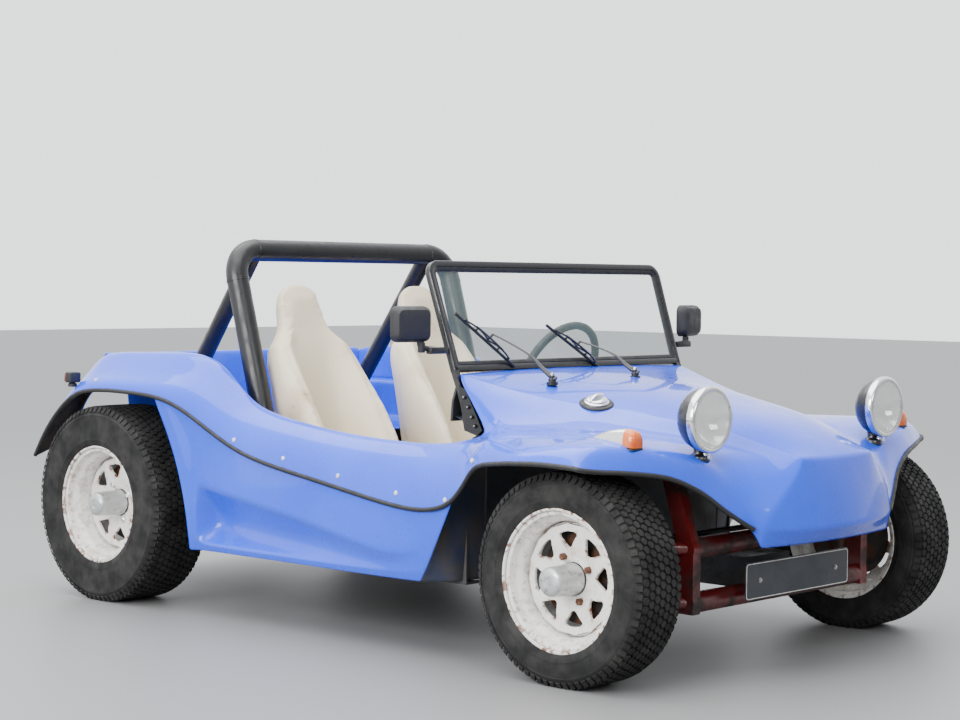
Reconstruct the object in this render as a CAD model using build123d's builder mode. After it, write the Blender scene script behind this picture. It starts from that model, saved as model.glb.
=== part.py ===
"""Open two-seat dune buggy: a glass-fibre body on a shortened rear-engined floor pan.

The car stands on its wheels with +Z up and its nose towards -Y, so its right-hand side is at -X.
The origin is on the ground, under the middle of the car's length and width. Lengths are millimetres.
Suspension is frozen at its parked height; the wheels roll and the front ones steer.
"""

from build123d import *
from math import cos, degrees, hypot, pi, radians, sin, tan
import os

os.makedirs("parts", exist_ok=True)

# Overall
WHEELBASE = 2032.0
FRONT_OVERHANG = 424.0          # front axle to the nose
REAR_OVERHANG = 484.0           # rear axle to the end of the tail pipe
HALF_WIDTH = 860.0              # centreline to the edge of a front fender
TUB_HALF = HALF_WIDTH - 220.0   # centreline to the tub's side walls
COWL_HEIGHT = 822.0             # ground to the bonnet at the windscreen
SKIN = 6.0                      # glass-fibre skin
LENGTH = FRONT_OVERHANG + WHEELBASE + REAR_OVERHANG
FRONT_AXLE_Y = -LENGTH / 2 + FRONT_OVERHANG
REAR_AXLE_Y = FRONT_AXLE_Y + WHEELBASE
SEAM = 4.0                      # gap between neighbouring panels
OVERRUN = 20.0                  # how far a cutter passes the face that it cuts

# Wheels
FRONT_TYRE_RADIUS = 292.0
FRONT_TYRE_WIDTH = 192.0
REAR_TYRE_RADIUS = 330.0
REAR_TYRE_WIDTH = 232.0
RIM_LIP_RADIUS = 194.5
RIM_BARREL_RADIUS = 172.0
RIM_WALL = 5.0
DISC_RADIUS = 150.0
DISC_WALL = 6.0
DISC_DISH = 12.0
HAND_HOLES = 8
HAND_HOLE_OUTER_RADIUS = 124.0
HAND_HOLE_INNER_RADIUS = 88.0
HAND_HOLE_WIDTH = 46.0
HAND_HOLE_CORNER = 7.0
HUB_BORE_RADIUS = 45.0
LUGS = 4
LUG_CIRCLE_RADIUS = 65.0
LUG_RADIUS = 11.0
LUG_HEIGHT = 16.0
CAP_RADIUS = 38.0
CAP_LENGTH = 62.0
FRONT_DISC_INSET = 48.0         # wheel disc behind the rim's outer lip
REAR_DISC_INSET = 112.0
FRONT_LIP_X = HALF_WIDTH - 85.0  # centreline to the rims' outer lips
REAR_LIP_X = HALF_WIDTH - 91.0
TYRE_BULGE = 9.0                # sidewall beyond the rim's lip
DRUM_RADIUS = 125.0
DRUM_LENGTH = 52.0

# Steering and front suspension
KINGPIN_X = FRONT_LIP_X - 179.0
KINGPIN_RADIUS = 15.0
SPINDLE_RADIUS = 16.0
BEAM_LEAD = 172.0               # beam tubes ahead of the front axle
BEAM_TUBE_RADIUS = 29.0
BEAM_TUBE_RISE = 150.0          # lower tube to upper tube
BEAM_LOWER_Z = 208.0
BEAM_HALF_LENGTH = KINGPIN_X - 159.0
TOWER_THICK = 34.0
TOWER_DEPTH = 52.0
TOWER_TOP_Z = 560.0
TOWER_LEAN = 62.0
ARM_RADIUS = 17.0
ROD_RADIUS = 9.0
ROD_DROP = 8.0
STEER_ARM = 108.0               # kingpin to the track rod's pin
STEER_GAP = 5.0

# Windscreen
SCREEN_BASE_HALF = 0.634 * HALF_WIDTH
SCREEN_TOP_HALF = SCREEN_BASE_HALF + 23.0
SCREEN_TOP_Z = 1142.0
SCREEN_TUBE = 34.0
SCREEN_CORNER = 92.0
SCREEN_LEAN = 18.9              # degrees from upright
SCREEN_LEG = 165.0              # leg below the glass
GLASS = 5.0

# Roll bar
BAR_RADIUS = 35.5
BAR_TOP_Z = 1180.0
BAR_HALF = TUB_HALF - 134.0
BAR_BEND = 100.0
BAR_LEAN = 16.5
BRACE_X = BAR_HALF - 96.0

# Lamps
LAMP_RADIUS = 94.0
LAMP_BOWL = 96.0
LAMP_RING = 16.0


def along(share):
    """Place along the car: -1 nose, 0 front axle, 1 rear axle, 2 tail."""
    if share < 0:
        return FRONT_AXLE_Y + share * FRONT_OVERHANG
    if share > 1:
        return REAR_AXLE_Y + (share - 1) * REAR_OVERHANG
    return FRONT_AXLE_Y + share * WHEELBASE


def wide(share):
    return share * HALF_WIDTH


def high(share):
    return share * COWL_HEIGHT


# Bonnet sections from the windscreen to the nose, as shares:
# along, centre height, shoulder width, shoulder height, waist width, waist height, valley width, valley height
BONNET_SHARES = [
    (0.288, 1.000, 0.634, 0.979, 0.662, 0.890, 0.668, 0.790),
    (0.205, 0.945, 0.555, 0.927, 0.645, 0.880, 0.680, 0.795),
    (0.111, 0.908, 0.469, 0.889, 0.605, 0.836, 0.674, 0.803),
    (0.000, 0.872, 0.381, 0.852, 0.540, 0.820, 0.651, 0.805),
    (-0.316, 0.839, 0.306, 0.815, 0.440, 0.775, 0.545, 0.775),
    (-0.528, 0.800, 0.265, 0.778, 0.375, 0.700, 0.465, 0.700),
    (-0.734, 0.755, 0.225, 0.735, 0.320, 0.640, 0.410, 0.590),
    (-0.764, 0.752, 0.205, 0.735, 0.300, 0.620, 0.384, 0.515),
]

# Front of the nose from the centreline to the chin's corner, as shares:
# width, then along and height of the top, brow, middle, fold and lip
NOSE_SHARES = [
    (0.000, -0.764, 0.752, -0.872, 0.730, -0.945, 0.640, -1.000, 0.496, -0.900, 0.448),
    (0.205, -0.764, 0.735, -0.872, 0.733, -0.925, 0.640, -0.965, 0.498, -0.870, 0.447),
    (0.300, -0.764, 0.620, -0.800, 0.600, -0.860, 0.560, -0.900, 0.500, -0.830, 0.446),
    (0.384, -0.764, 0.515, -0.780, 0.505, -0.792, 0.495, -0.800, 0.482, -0.775, 0.450),
]

# Flank sections from the front fender's corner to the tail, as shares:
# along, inner width, inner height, middle width, middle height, crease width, crease height, edge width, edge height
FLANK_SHARES = [
    (-0.316, 0.545, 0.775, 0.700, 0.783, 0.924, 0.791, 1.000, 0.727),
    (0.000, 0.651, 0.805, 0.780, 0.798, 0.930, 0.791, 1.000, 0.733),
    (0.069, 0.665, 0.804, 0.790, 0.796, 0.924, 0.788, 0.979, 0.722),
    (0.115, 0.674, 0.803, 0.780, 0.794, 0.901, 0.785, 0.953, 0.709),
    (0.149, 0.678, 0.799, 0.770, 0.790, 0.878, 0.781, 0.930, 0.673),
    (0.173, 0.680, 0.796, 0.760, 0.787, 0.855, 0.778, 0.913, 0.617),
    (0.188, 0.681, 0.794, 0.750, 0.785, 0.840, 0.776, 0.901, 0.558),
    (0.205, 0.680, 0.795, 0.740, 0.783, 0.826, 0.772, 0.893, 0.540),
    (0.240, 0.705, 0.765, 0.745, 0.765, 0.806, 0.752, 0.878, 0.524),
    (0.292, 0.735, 0.746, 0.770, 0.745, 0.806, 0.728, 0.866, 0.519),
    (0.375, 0.744, 0.743, 0.780, 0.742, 0.812, 0.725, 0.860, 0.545),
    (0.506, 0.744, 0.766, 0.780, 0.762, 0.816, 0.742, 0.860, 0.592),
    (0.610, 0.744, 0.799, 0.782, 0.793, 0.820, 0.769, 0.861, 0.626),
    (0.689, 0.744, 0.846, 0.784, 0.838, 0.823, 0.812, 0.863, 0.676),
    (0.736, 0.740, 0.906, 0.785, 0.885, 0.830, 0.850, 0.866, 0.732),
    (0.768, 0.725, 1.000, 0.785, 0.920, 0.840, 0.885, 0.870, 0.769),
    (0.815, 0.698, 1.026, 0.795, 0.930, 0.856, 0.903, 0.878, 0.832),
    (0.859, 0.698, 1.023, 0.800, 0.928, 0.863, 0.904, 0.884, 0.852),
    (1.000, 0.698, 1.013, 0.805, 0.922, 0.870, 0.906, 0.884, 0.860),
    (1.337, 0.698, 1.008, 0.805, 0.915, 0.870, 0.900, 0.884, 0.838),
    (1.463, 0.698, 0.973, 0.805, 0.880, 0.870, 0.850, 0.884, 0.782),
    (1.587, 0.698, 0.906, 0.805, 0.815, 0.870, 0.780, 0.884, 0.706),
    (1.690, 0.698, 0.815, 0.805, 0.730, 0.870, 0.690, 0.884, 0.626),
    (1.773, 0.698, 0.681, 0.805, 0.640, 0.870, 0.600, 0.884, 0.558),
]
FENDER_ROWS = 8                 # rows of the table up to the scuttle
PANEL_ROWS = 14                 # rows up to the end of the cockpit's side

# Front of a fender, from its outer corner to the chin, as shares:
# width, back along, back height, crease along, crease height, edge along, edge height
BROW_SHARES = [
    (0.994, -0.290, 0.735, -0.306, 0.732, -0.323, 0.726),
    (0.924, -0.316, 0.791, -0.323, 0.789, -0.372, 0.715),
    (0.814, -0.316, 0.788, -0.349, 0.786, -0.479, 0.709),
    (0.698, -0.316, 0.783, -0.404, 0.776, -0.561, 0.690),
    (0.581, -0.316, 0.777, -0.464, 0.759, -0.629, 0.637),
    (0.500, -0.431, 0.735, -0.550, 0.715, -0.693, 0.570),
    (0.430, -0.651, 0.640, -0.697, 0.620, -0.771, 0.520),
    (0.390, -0.770, 0.575, -0.796, 0.545, -0.830, 0.500),
]

# Side pod under the tub's edge, as shares:
# along, top width, top height, brow width, brow height, scoop width, scoop height, foot width, foot height
POD_SHARES = [
    (0.783, 0.862, 0.770, 0.858, 0.420, 0.830, 0.360, 0.840, 0.268),
    (0.736, 0.860, 0.728, 0.862, 0.455, 0.795, 0.375, 0.845, 0.268),
    (0.650, 0.856, 0.645, 0.862, 0.450, 0.800, 0.370, 0.845, 0.268),
    (0.506, 0.853, 0.588, 0.862, 0.415, 0.812, 0.350, 0.845, 0.270),
    (0.375, 0.853, 0.541, 0.860, 0.370, 0.825, 0.330, 0.842, 0.273),
    (0.292, 0.856, 0.515, 0.852, 0.340, 0.838, 0.315, 0.838, 0.276),
]


def thickened(points, wall=SKIN, square=False):
    """Outline of a skin through the points; its first rim is upright, or square to the skin."""
    normals = []
    for (x0, z0), (x1, z1) in zip(points, points[1:]):
        run = hypot(x1 - x0, z1 - z0)
        normals.append(((z1 - z0) / run, -(x1 - x0) / run))
    first = normals[0] if square else (0, -1)
    inner = [(points[0][0] + wall * first[0], points[0][1] + wall * first[1])]
    for (x, z), a, b in zip(points[1:-1], normals, normals[1:]):
        half = 1 + a[0] * b[0] + a[1] * b[1]
        inner.append((x + wall * (a[0] + b[0]) / half, z + wall * (a[1] + b[1]) / half))
    last = normals[-1]
    inner.append((points[-1][0] + wall * last[0], points[-1][1] + wall * last[1]))
    return list(points) + inner[::-1]


def across(y):
    """Upright plane across the car, drawn in x and z."""
    return Plane.XZ.offset(-y)


def lofted(sections):
    """Ruled solid through outlines, each on its plane."""
    with BuildPart() as skin:
        for plane, outline in sections:
            with BuildSketch(plane):
                with BuildLine():
                    Polyline(*outline, close=True)
                make_face()
        loft(ruled=True)
    return skin.part


def flank(rows, seam=0):
    """Stretch of the tub's side at +X, through rows of the flank table."""
    sections = []
    for row in rows:
        points = [(wide(row[i]), high(row[i + 1])) for i in (1, 3, 5, 7)]
        points[0] = (points[0][0] + seam, points[0][1])
        sections.append((across(along(row[0])), thickened(points)))
    return lofted(sections)


def both_sides(part):
    return part, mirror(part, about=Plane.YZ)


def save(part, name):
    part.label = name
    export_step(part, f"parts/{name}.step")


# Bonnet: crowned top, stepped shoulders, and the upright nose with its chin
bonnet_sections = []
for row in BONNET_SHARES:
    place, centre, *rest = row
    half = [(0, high(centre))] + [(wide(rest[i]), high(rest[i + 1])) for i in (0, 2, 4)]
    bonnet_sections.append((across(along(place)), thickened(half)))
bonnet_half = lofted(bonnet_sections)

nose_sections = []
for width, *rest in NOSE_SHARES:
    front = [(along(rest[i]), high(rest[i + 1])) for i in (8, 6, 4, 2, 0)]
    nose_sections.append((Plane.YZ.offset(wide(width)), thickened(front, square=True)))
nose_half = lofted(nose_sections)

with BuildPart() as bonnet:
    add(bonnet_half)
    add(nose_half)
    mirror(about=Plane.YZ)
save(bonnet.part, "bonnet")

# Front fenders: the flat top, its turned-down skirt and the brow round the front
brow_sections = []
for width, *rest in BROW_SHARES:
    points = [(along(rest[i]), high(rest[i + 1])) for i in (4, 2, 0)]
    brow_sections.append((Plane.YZ.offset(wide(width) + 2 * SEAM), thickened(points, square=True)))
with BuildPart() as fender:
    add(flank(FLANK_SHARES[:FENDER_ROWS], SEAM))
    add(lofted(brow_sections))
for piece, side in zip(both_sides(fender.part), ("left", "right")):
    save(piece, f"front_fender_{side}")

for piece, side in zip(both_sides(flank(FLANK_SHARES[FENDER_ROWS - 1:PANEL_ROWS])), ("left", "right")):
    save(piece, f"side_panel_{side}")

# Rear body: both haunches, the well between them and its end wall
WELL_HALF = wide(FLANK_SHARES[-1][1])
WELL_LEDGE_HALF = WELL_HALF - 80.0
WELL_LEDGE_Z = 705.0
WELL_FLOOR_Z = 560.0
WELL_FRONT_SHARE = 0.815
WELL_REAR_SHARE = 1.337
wall_rows = [row for row in FLANK_SHARES if WELL_FRONT_SHARE <= row[0] <= WELL_REAR_SHARE]
with BuildPart() as rear_half:
    add(flank(FLANK_SHARES[PANEL_ROWS - 1:]))
    with BuildSketch(Plane.YZ.offset(WELL_HALF - SKIN)):
        with BuildLine():
            Polyline(
                (along(WELL_FRONT_SHARE), WELL_LEDGE_Z - SKIN),
                *[(along(row[0]), high(row[2])) for row in wall_rows],
                (along(WELL_REAR_SHARE), WELL_LEDGE_Z - SKIN),
                close=True,
            )
        make_face()
    extrude(amount=SKIN)
    with BuildSketch(across(along(WELL_FRONT_SHARE))):
        with BuildLine():
            Polyline(
                (WELL_HALF, WELL_LEDGE_Z),
                (WELL_LEDGE_HALF, WELL_LEDGE_Z),
                (WELL_LEDGE_HALF, WELL_FLOOR_Z),
                (0, WELL_FLOOR_Z),
                (0, WELL_FLOOR_Z - SKIN),
                (WELL_LEDGE_HALF + SKIN, WELL_FLOOR_Z - SKIN),
                (WELL_LEDGE_HALF + SKIN, WELL_LEDGE_Z - SKIN),
                (WELL_HALF, WELL_LEDGE_Z - SKIN),
                close=True,
            )
        make_face()
    extrude(amount=along(WELL_FRONT_SHARE) - along(WELL_REAR_SHARE))
    with BuildSketch(across(along(WELL_REAR_SHARE))):
        with BuildLine():
            Polyline(
                (0, high(FLANK_SHARES[-6][2])),
                (WELL_HALF, high(FLANK_SHARES[-6][2])),
                (WELL_HALF, WELL_LEDGE_Z - SKIN),
                (WELL_LEDGE_HALF + SKIN, WELL_LEDGE_Z - SKIN),
                (WELL_LEDGE_HALF + SKIN, WELL_FLOOR_Z - SKIN),
                (0, WELL_FLOOR_Z - SKIN),
                close=True,
            )
        make_face()
    extrude(amount=SKIN, both=True)
with BuildPart() as rear_body:
    add(rear_half.part)
    mirror(about=Plane.YZ)
save(rear_body.part, "rear_body")

# Side pods: thin boxes bolted under the tub's edge, scooped along the flank
POD_GAP = 3.0
pod_sections = []
for row in POD_SHARES:
    points = [(wide(row[i]), high(row[i + 1]) - SKIN - POD_GAP) for i in (1, 3, 5, 7)]
    points.append((TUB_HALF + POD_GAP, high(row[-1])))
    pod_sections.append((across(along(row[0])), thickened(points, square=True)))
for piece, side in zip(both_sides(lofted(pod_sections)), ("left", "right")):
    save(piece, f"side_pod_{side}")

# Floor pan with its tunnel, frame head and the tub's inner walls
PAN_Z = 212.0
PAN_THICK = 8.0
PAN_FRONT = 456.0               # front axle to the footwell's front wall
PAN_REAR = 400.0                # rear axle forward to the seat bulkhead
BULKHEAD_Z = WELL_FLOOR_Z - SKIN - POD_GAP
FOOTWELL_Z = 600.0
FOOTWELL_HALF = TUB_HALF - 80.0
TUNNEL_HALF = 75.0
TUNNEL_RISE = 150.0
HEAD_HALF = 110.0
HEAD_RISE = 90.0
SEAT_HALF = 0.315 * (TUB_HALF - TUNNEL_HALF)
SEAT_X = TUNNEL_HALF + 0.372 * (TUB_HALF - TUNNEL_HALF)
COLUMN_X = SEAT_X + 35.0
pan_front_y = FRONT_AXLE_Y + PAN_FRONT
pan_rear_y = REAR_AXLE_Y - PAN_REAR
pan_length = pan_rear_y - pan_front_y
WALL_HEIGHT = 355.0
COLUMN_TILT = 25.0
STEERING_RADIUS = 172.0
STEERING_Y = 940.0              # front axle back to the steering wheel's hub
STEERING_Z = 783.0
COLUMN_RADIUS = 19.0
COLUMN_LENGTH = 1085.0
column_out = Plane(
    origin=(COLUMN_X, FRONT_AXLE_Y + STEERING_Y, STEERING_Z),
    x_dir=(1, 0, 0),
    z_dir=(0, cos(radians(COLUMN_TILT)), sin(radians(COLUMN_TILT))),
)
with BuildPart() as floor_tub:
    with Locations((0, pan_front_y, PAN_Z)):
        Box(2 * TUB_HALF, pan_length, PAN_THICK, align=(Align.CENTER, Align.MIN, Align.MIN))
        Box(2 * FOOTWELL_HALF, PAN_THICK, FOOTWELL_Z - PAN_Z, align=(Align.CENTER, Align.MIN, Align.MIN))
        Box(2 * TUNNEL_HALF, pan_length, TUNNEL_RISE, align=(Align.CENTER, Align.MIN, Align.MIN))
        Box(2 * HEAD_HALF, PAN_FRONT + BEAM_LEAD - BEAM_TUBE_RADIUS - POD_GAP, HEAD_RISE,
            align=(Align.CENTER, Align.MAX, Align.MIN))
    with Locations((0, pan_rear_y, PAN_Z)):
        Box(2 * TUB_HALF, PAN_THICK, BULKHEAD_Z - PAN_Z, align=(Align.CENTER, Align.MAX, Align.MIN))
    for side in (-1, 1):
        with Locations((side * (TUB_HALF - SKIN / 2), pan_front_y, PAN_Z)):
            Box(SKIN, pan_length, WALL_HEIGHT, align=(Align.CENTER, Align.MIN, Align.MIN))
    with Locations(column_out.location):
        Cylinder(COLUMN_RADIUS + OVERRUN, COLUMN_LENGTH, align=(Align.CENTER, Align.CENTER, Align.MAX),
                 mode=Mode.SUBTRACT)
save(floor_tub.part, "floor_tub")

# Dashboard under the scuttle
DASH_LOW_Z = 672.0
DASH_WALL = 8.0
DASH_GAP = 3.0
row = BONNET_SHARES[0]
dash_points = [
    (0, high(row[1]) - SKIN - DASH_GAP),
    (wide(row[2]) - SKIN - DASH_GAP, high(row[3]) - SKIN - DASH_GAP),
    (wide(row[4]) - SKIN - DASH_GAP, high(row[5])),
    (wide(row[6]) - SKIN - DASH_GAP, DASH_LOW_Z),
    (0, DASH_LOW_Z),
]
with BuildPart() as dashboard:
    with BuildSketch(across(along(row[0]) + DASH_GAP + DASH_WALL)):
        with BuildLine():
            Polyline(*dash_points, close=True)
        make_face()
        mirror(about=Plane.YZ)
    extrude(amount=DASH_WALL)
save(dashboard.part, "dashboard")

# Seats
SEAT_FRONT = 1045.0             # front axle back to the cushion's front
SEAT_DEPTH = 480.0
SEAT_FLOOR_GAP = 28.0
SEAT_PROFILE_SHARES = [
    (0.00, 0.00), (0.00, 0.17), (0.06, 0.21), (0.72, 0.13), (1.05, 0.80), (1.08, 0.97), (1.13, 1.00),
    (1.19, 0.98), (1.17, 0.80), (0.98, 0.20), (0.90, 0.00),
]
SEAT_HEIGHT = 825.0
seat_z = PAN_Z + PAN_THICK + SEAT_FLOOR_GAP
for side, name in ((1, "left"), (-1, "right")):
    with BuildPart() as seat:
        with BuildSketch(Plane.YZ.offset(side * SEAT_X)):
            with BuildLine():
                Polyline(
                    *[(FRONT_AXLE_Y + SEAT_FRONT + a * SEAT_DEPTH, seat_z + b * SEAT_HEIGHT)
                      for a, b in SEAT_PROFILE_SHARES],
                    close=True,
                )
            make_face()
        extrude(amount=SEAT_HALF, both=True)
        with Locations((side * SEAT_X, FRONT_AXLE_Y + SEAT_FRONT + SEAT_DEPTH / 2, PAN_Z + PAN_THICK)):
            Box(SEAT_HALF, SEAT_DEPTH / 2, SEAT_FLOOR_GAP, align=(Align.CENTER, Align.CENTER, Align.MIN))
    save(seat.part, f"seat_{name}")

# Windscreen frame and its glass, drawn in the leaning plane of the screen
SCREEN_BASE_Z = 812.0
SCREEN_BASE_Y = 606.0           # front axle back to the frame's base
SCREEN_DEPTH = 26.0
GLASS_FIT = 1.0
screen_height = (SCREEN_TOP_Z - SCREEN_BASE_Z) / cos(radians(SCREEN_LEAN))
screen_plane = Plane(
    origin=(0, FRONT_AXLE_Y + SCREEN_BASE_Y, SCREEN_BASE_Z),
    x_dir=(1, 0, 0),
    z_dir=(0, -cos(radians(SCREEN_LEAN)), sin(radians(SCREEN_LEAN))),
)


def screen_outline(inset, radius):
    """Rounded trapezoid of the windscreen, drawn in by the inset."""
    base, top = SCREEN_BASE_HALF - inset, SCREEN_TOP_HALF - inset
    Polygon((-base, inset), (base, inset), (top, screen_height - inset), (-top, screen_height - inset), align=None)


with BuildPart() as windscreen_frame:
    with BuildSketch(screen_plane) as frame_sketch:
        screen_outline(0, SCREEN_CORNER)
        fillet(frame_sketch.vertices(), SCREEN_CORNER / 2)
    extrude(amount=SCREEN_DEPTH / 2, both=True)
    with BuildSketch(screen_plane) as hole_sketch:
        screen_outline(SCREEN_TUBE, SCREEN_CORNER)
        fillet(hole_sketch.vertices(), SCREEN_CORNER / 3)
    extrude(amount=SCREEN_DEPTH, both=True, mode=Mode.SUBTRACT)
save(windscreen_frame.part, "windscreen_frame")
with BuildPart() as windscreen_glass:
    with BuildSketch(screen_plane) as glass_sketch:
        screen_outline(SCREEN_TUBE + GLASS_FIT, SCREEN_CORNER)
        fillet(glass_sketch.vertices(), SCREEN_CORNER / 3)
    extrude(amount=GLASS / 2, both=True)
save(windscreen_glass.part, "windscreen_glass")

# Roll bar: a leaning hoop with two stays to the well's floor
BAR_TOP_Y = 398.0               # rear axle forward to the hoop's top
BAR_FOOT_Z = PAN_Z + PAN_THICK
BRACE_RADIUS = 24.0
BRACE_REACH = 400.0             # hoop to the stay's foot, along the car
bar_plane = Plane(
    origin=(0, REAR_AXLE_Y - BAR_TOP_Y, BAR_TOP_Z),
    x_dir=(1, 0, 0),
    z_dir=(0, -cos(radians(BAR_LEAN)), sin(radians(BAR_LEAN))),
)
bar_drop = (BAR_TOP_Z - BAR_FOOT_Z - OVERRUN) / cos(radians(BAR_LEAN))
with BuildPart() as roll_bar:
    with BuildLine(bar_plane) as hoop:
        line = Polyline((-BAR_HALF, -bar_drop), (-BAR_HALF, 0), (BAR_HALF, 0), (BAR_HALF, -bar_drop))
        fillet(hoop.vertices().filter_by(lambda v: v.Z > BAR_TOP_Z - OVERRUN), BAR_BEND)
    with BuildSketch(Plane(origin=hoop.line @ 0, z_dir=hoop.line % 0)):
        Circle(BAR_RADIUS)
    sweep(path=hoop.line)
    for side in (-1, 1):
        top = Vector(side * BRACE_X, REAR_AXLE_Y - BAR_TOP_Y, BAR_TOP_Z)
        foot = Vector(side * BRACE_X, REAR_AXLE_Y - BAR_TOP_Y + BRACE_REACH, WELL_FLOOR_Z)
        with BuildSketch(Plane(origin=foot, z_dir=top - foot)):
            Circle(BRACE_RADIUS)
        extrude(amount=(top - foot).length)
    with Locations((0, 0, BAR_FOOT_Z)):
        Box(2 * HALF_WIDTH, LENGTH, BAR_TOP_Z, align=(Align.CENTER, Align.CENTER, Align.MAX), mode=Mode.SUBTRACT)
    with Locations((0, REAR_AXLE_Y, WELL_FLOOR_Z)):
        Box(2 * WELL_LEDGE_HALF, PAN_REAR, BAR_BEND, align=(Align.CENTER, Align.CENTER, Align.MAX),
            mode=Mode.SUBTRACT)
save(roll_bar.part, "roll_bar")

# Steering wheel and column; the box at the column's foot sits behind the upper beam tube
STEERING_TUBE = 14.0
HUB_RADIUS = 34.0
SPOKE_WIDTH = 26.0
SPOKE_THICK = 5.0
SPOKES = 3
HUB_DEPTH = 30.0
BOX_SIZE = 84.0
COLUMN_GAP = 2.0
with BuildPart() as steering_wheel:
    with Locations(column_out.location):
        Torus(STEERING_RADIUS, STEERING_TUBE)
        Cylinder(HUB_RADIUS, HUB_DEPTH)
    with BuildSketch(column_out):
        for spoke in range(SPOKES):
            with Locations(Rotation(0, 0, 90 + spoke * 360 / SPOKES)):
                Rectangle(STEERING_RADIUS, SPOKE_WIDTH, align=(Align.MIN, Align.CENTER))
    extrude(amount=SPOKE_THICK / 2, both=True)
save(steering_wheel.part, "steering_wheel")
with BuildPart() as steering_column:
    with BuildSketch(column_out.offset(-HUB_DEPTH / 2 - COLUMN_GAP)):
        Circle(COLUMN_RADIUS)
    extrude(amount=-COLUMN_LENGTH)
    with Locations(column_out.offset(-COLUMN_LENGTH).location):
        Box(BOX_SIZE, BOX_SIZE, BOX_SIZE)
save(steering_column.part, "steering_column")


def turned(plane, profile):
    """Solid turned about a plane's own X, from points (distance along X, radius)."""
    with BuildPart() as body:
        with BuildSketch(plane):
            with BuildLine():
                Polyline(*profile, close=True)
            make_face()
        revolve(axis=Axis(plane.origin, plane.x_dir))
    return body.part


# Headlamps on stalks
LAMP_X = wide(0.517)
LAMP_LEAD = 256.0               # front axle to the lens rim
LAMP_Z = 717.0
LAMP_FOOT_Z = 622.0
STALK_RADIUS = 11.0
LAMP_PROFILE_SHARES = [
    (-0.06, 0.0), (-0.05, 0.90), (0.0, 1.0), (0.17, 1.0), (0.30, 0.93), (0.62, 0.78), (0.90, 0.45), (1.0, 0.0),
]
for side, name in ((1, "left"), (-1, "right")):
    nose_plane = Plane(
        origin=(side * LAMP_X, FRONT_AXLE_Y - LAMP_LEAD, LAMP_Z), x_dir=(0, 1, 0), z_dir=(1, 0, 0)
    )
    with BuildPart() as headlamp:
        add(turned(nose_plane, [(a * LAMP_BOWL, b * LAMP_RADIUS) for a, b in LAMP_PROFILE_SHARES]))
        with Locations((side * LAMP_X, FRONT_AXLE_Y - LAMP_LEAD + LAMP_BOWL / 3, LAMP_FOOT_Z)):
            Cylinder(STALK_RADIUS, LAMP_RADIUS, align=(Align.CENTER, Align.CENTER, Align.MIN))
    save(headlamp.part, f"headlamp_{name}")

# Indicators: teardrops on the fenders
INDICATOR_X = wide(0.744)
INDICATOR_LEAD = 196.0
INDICATOR_LENGTH = 188.0
INDICATOR_RADIUS = 29.0
INDICATOR_Z = 683.0
INDICATOR_SHARES = [(0.0, 0.0), (0.02, 0.85), (0.12, 1.0), (0.35, 0.95), (0.7, 0.5), (1.0, 0.0)]
for side, name in ((1, "left"), (-1, "right")):
    tip = Plane(
        origin=(side * INDICATOR_X, FRONT_AXLE_Y - INDICATOR_LEAD, INDICATOR_Z), x_dir=(0, 1, 0), z_dir=(1, 0, 0)
    )
    with BuildPart() as indicator:
        add(turned(tip, [(a * INDICATOR_LENGTH, b * INDICATOR_RADIUS) for a, b in INDICATOR_SHARES]))
    save(indicator.part, f"indicator_{name}")

# Tail lamps, number plate and fuel filler cap
TAIL_X = wide(0.762)
TAIL_Z = 648.0
TAIL_REACH = 405.0              # rear axle back to the lamp's lens
TAIL_RADIUS = 42.0
TAIL_DEPTH = 40.0
for side, name in ((1, "left"), (-1, "right")):
    with BuildPart() as tail_lamp:
        with BuildSketch(Plane.XZ.offset(-(REAR_AXLE_Y + TAIL_REACH))):
            with Locations((side * TAIL_X, TAIL_Z)):
                Circle(TAIL_RADIUS)
        extrude(amount=TAIL_DEPTH)
    save(tail_lamp.part, f"tail_lamp_{name}")
PLATE_WIDTH = 520.0
PLATE_HEIGHT = 110.0
PLATE_THICK = 3.0
PLATE_LEAD = 245.0
PLATE_Z = 256.0
with BuildPart() as number_plate:
    with Locations((0, FRONT_AXLE_Y - PLATE_LEAD, PLATE_Z)):
        Box(PLATE_WIDTH, PLATE_THICK, PLATE_HEIGHT)
save(number_plate.part, "number_plate")
FUEL_X = -wide(0.331)
FUEL_BACK = 266.0
FUEL_Z = 764.0
FUEL_RADIUS = 42.0
FUEL_HEIGHT = 22.0
with BuildPart() as fuel_cap:
    with Locations((FUEL_X, FRONT_AXLE_Y + FUEL_BACK, FUEL_Z)):
        Cylinder(FUEL_RADIUS, FUEL_HEIGHT, align=(Align.CENTER, Align.CENTER, Align.MIN))
save(fuel_cap.part, "fuel_cap")

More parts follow.
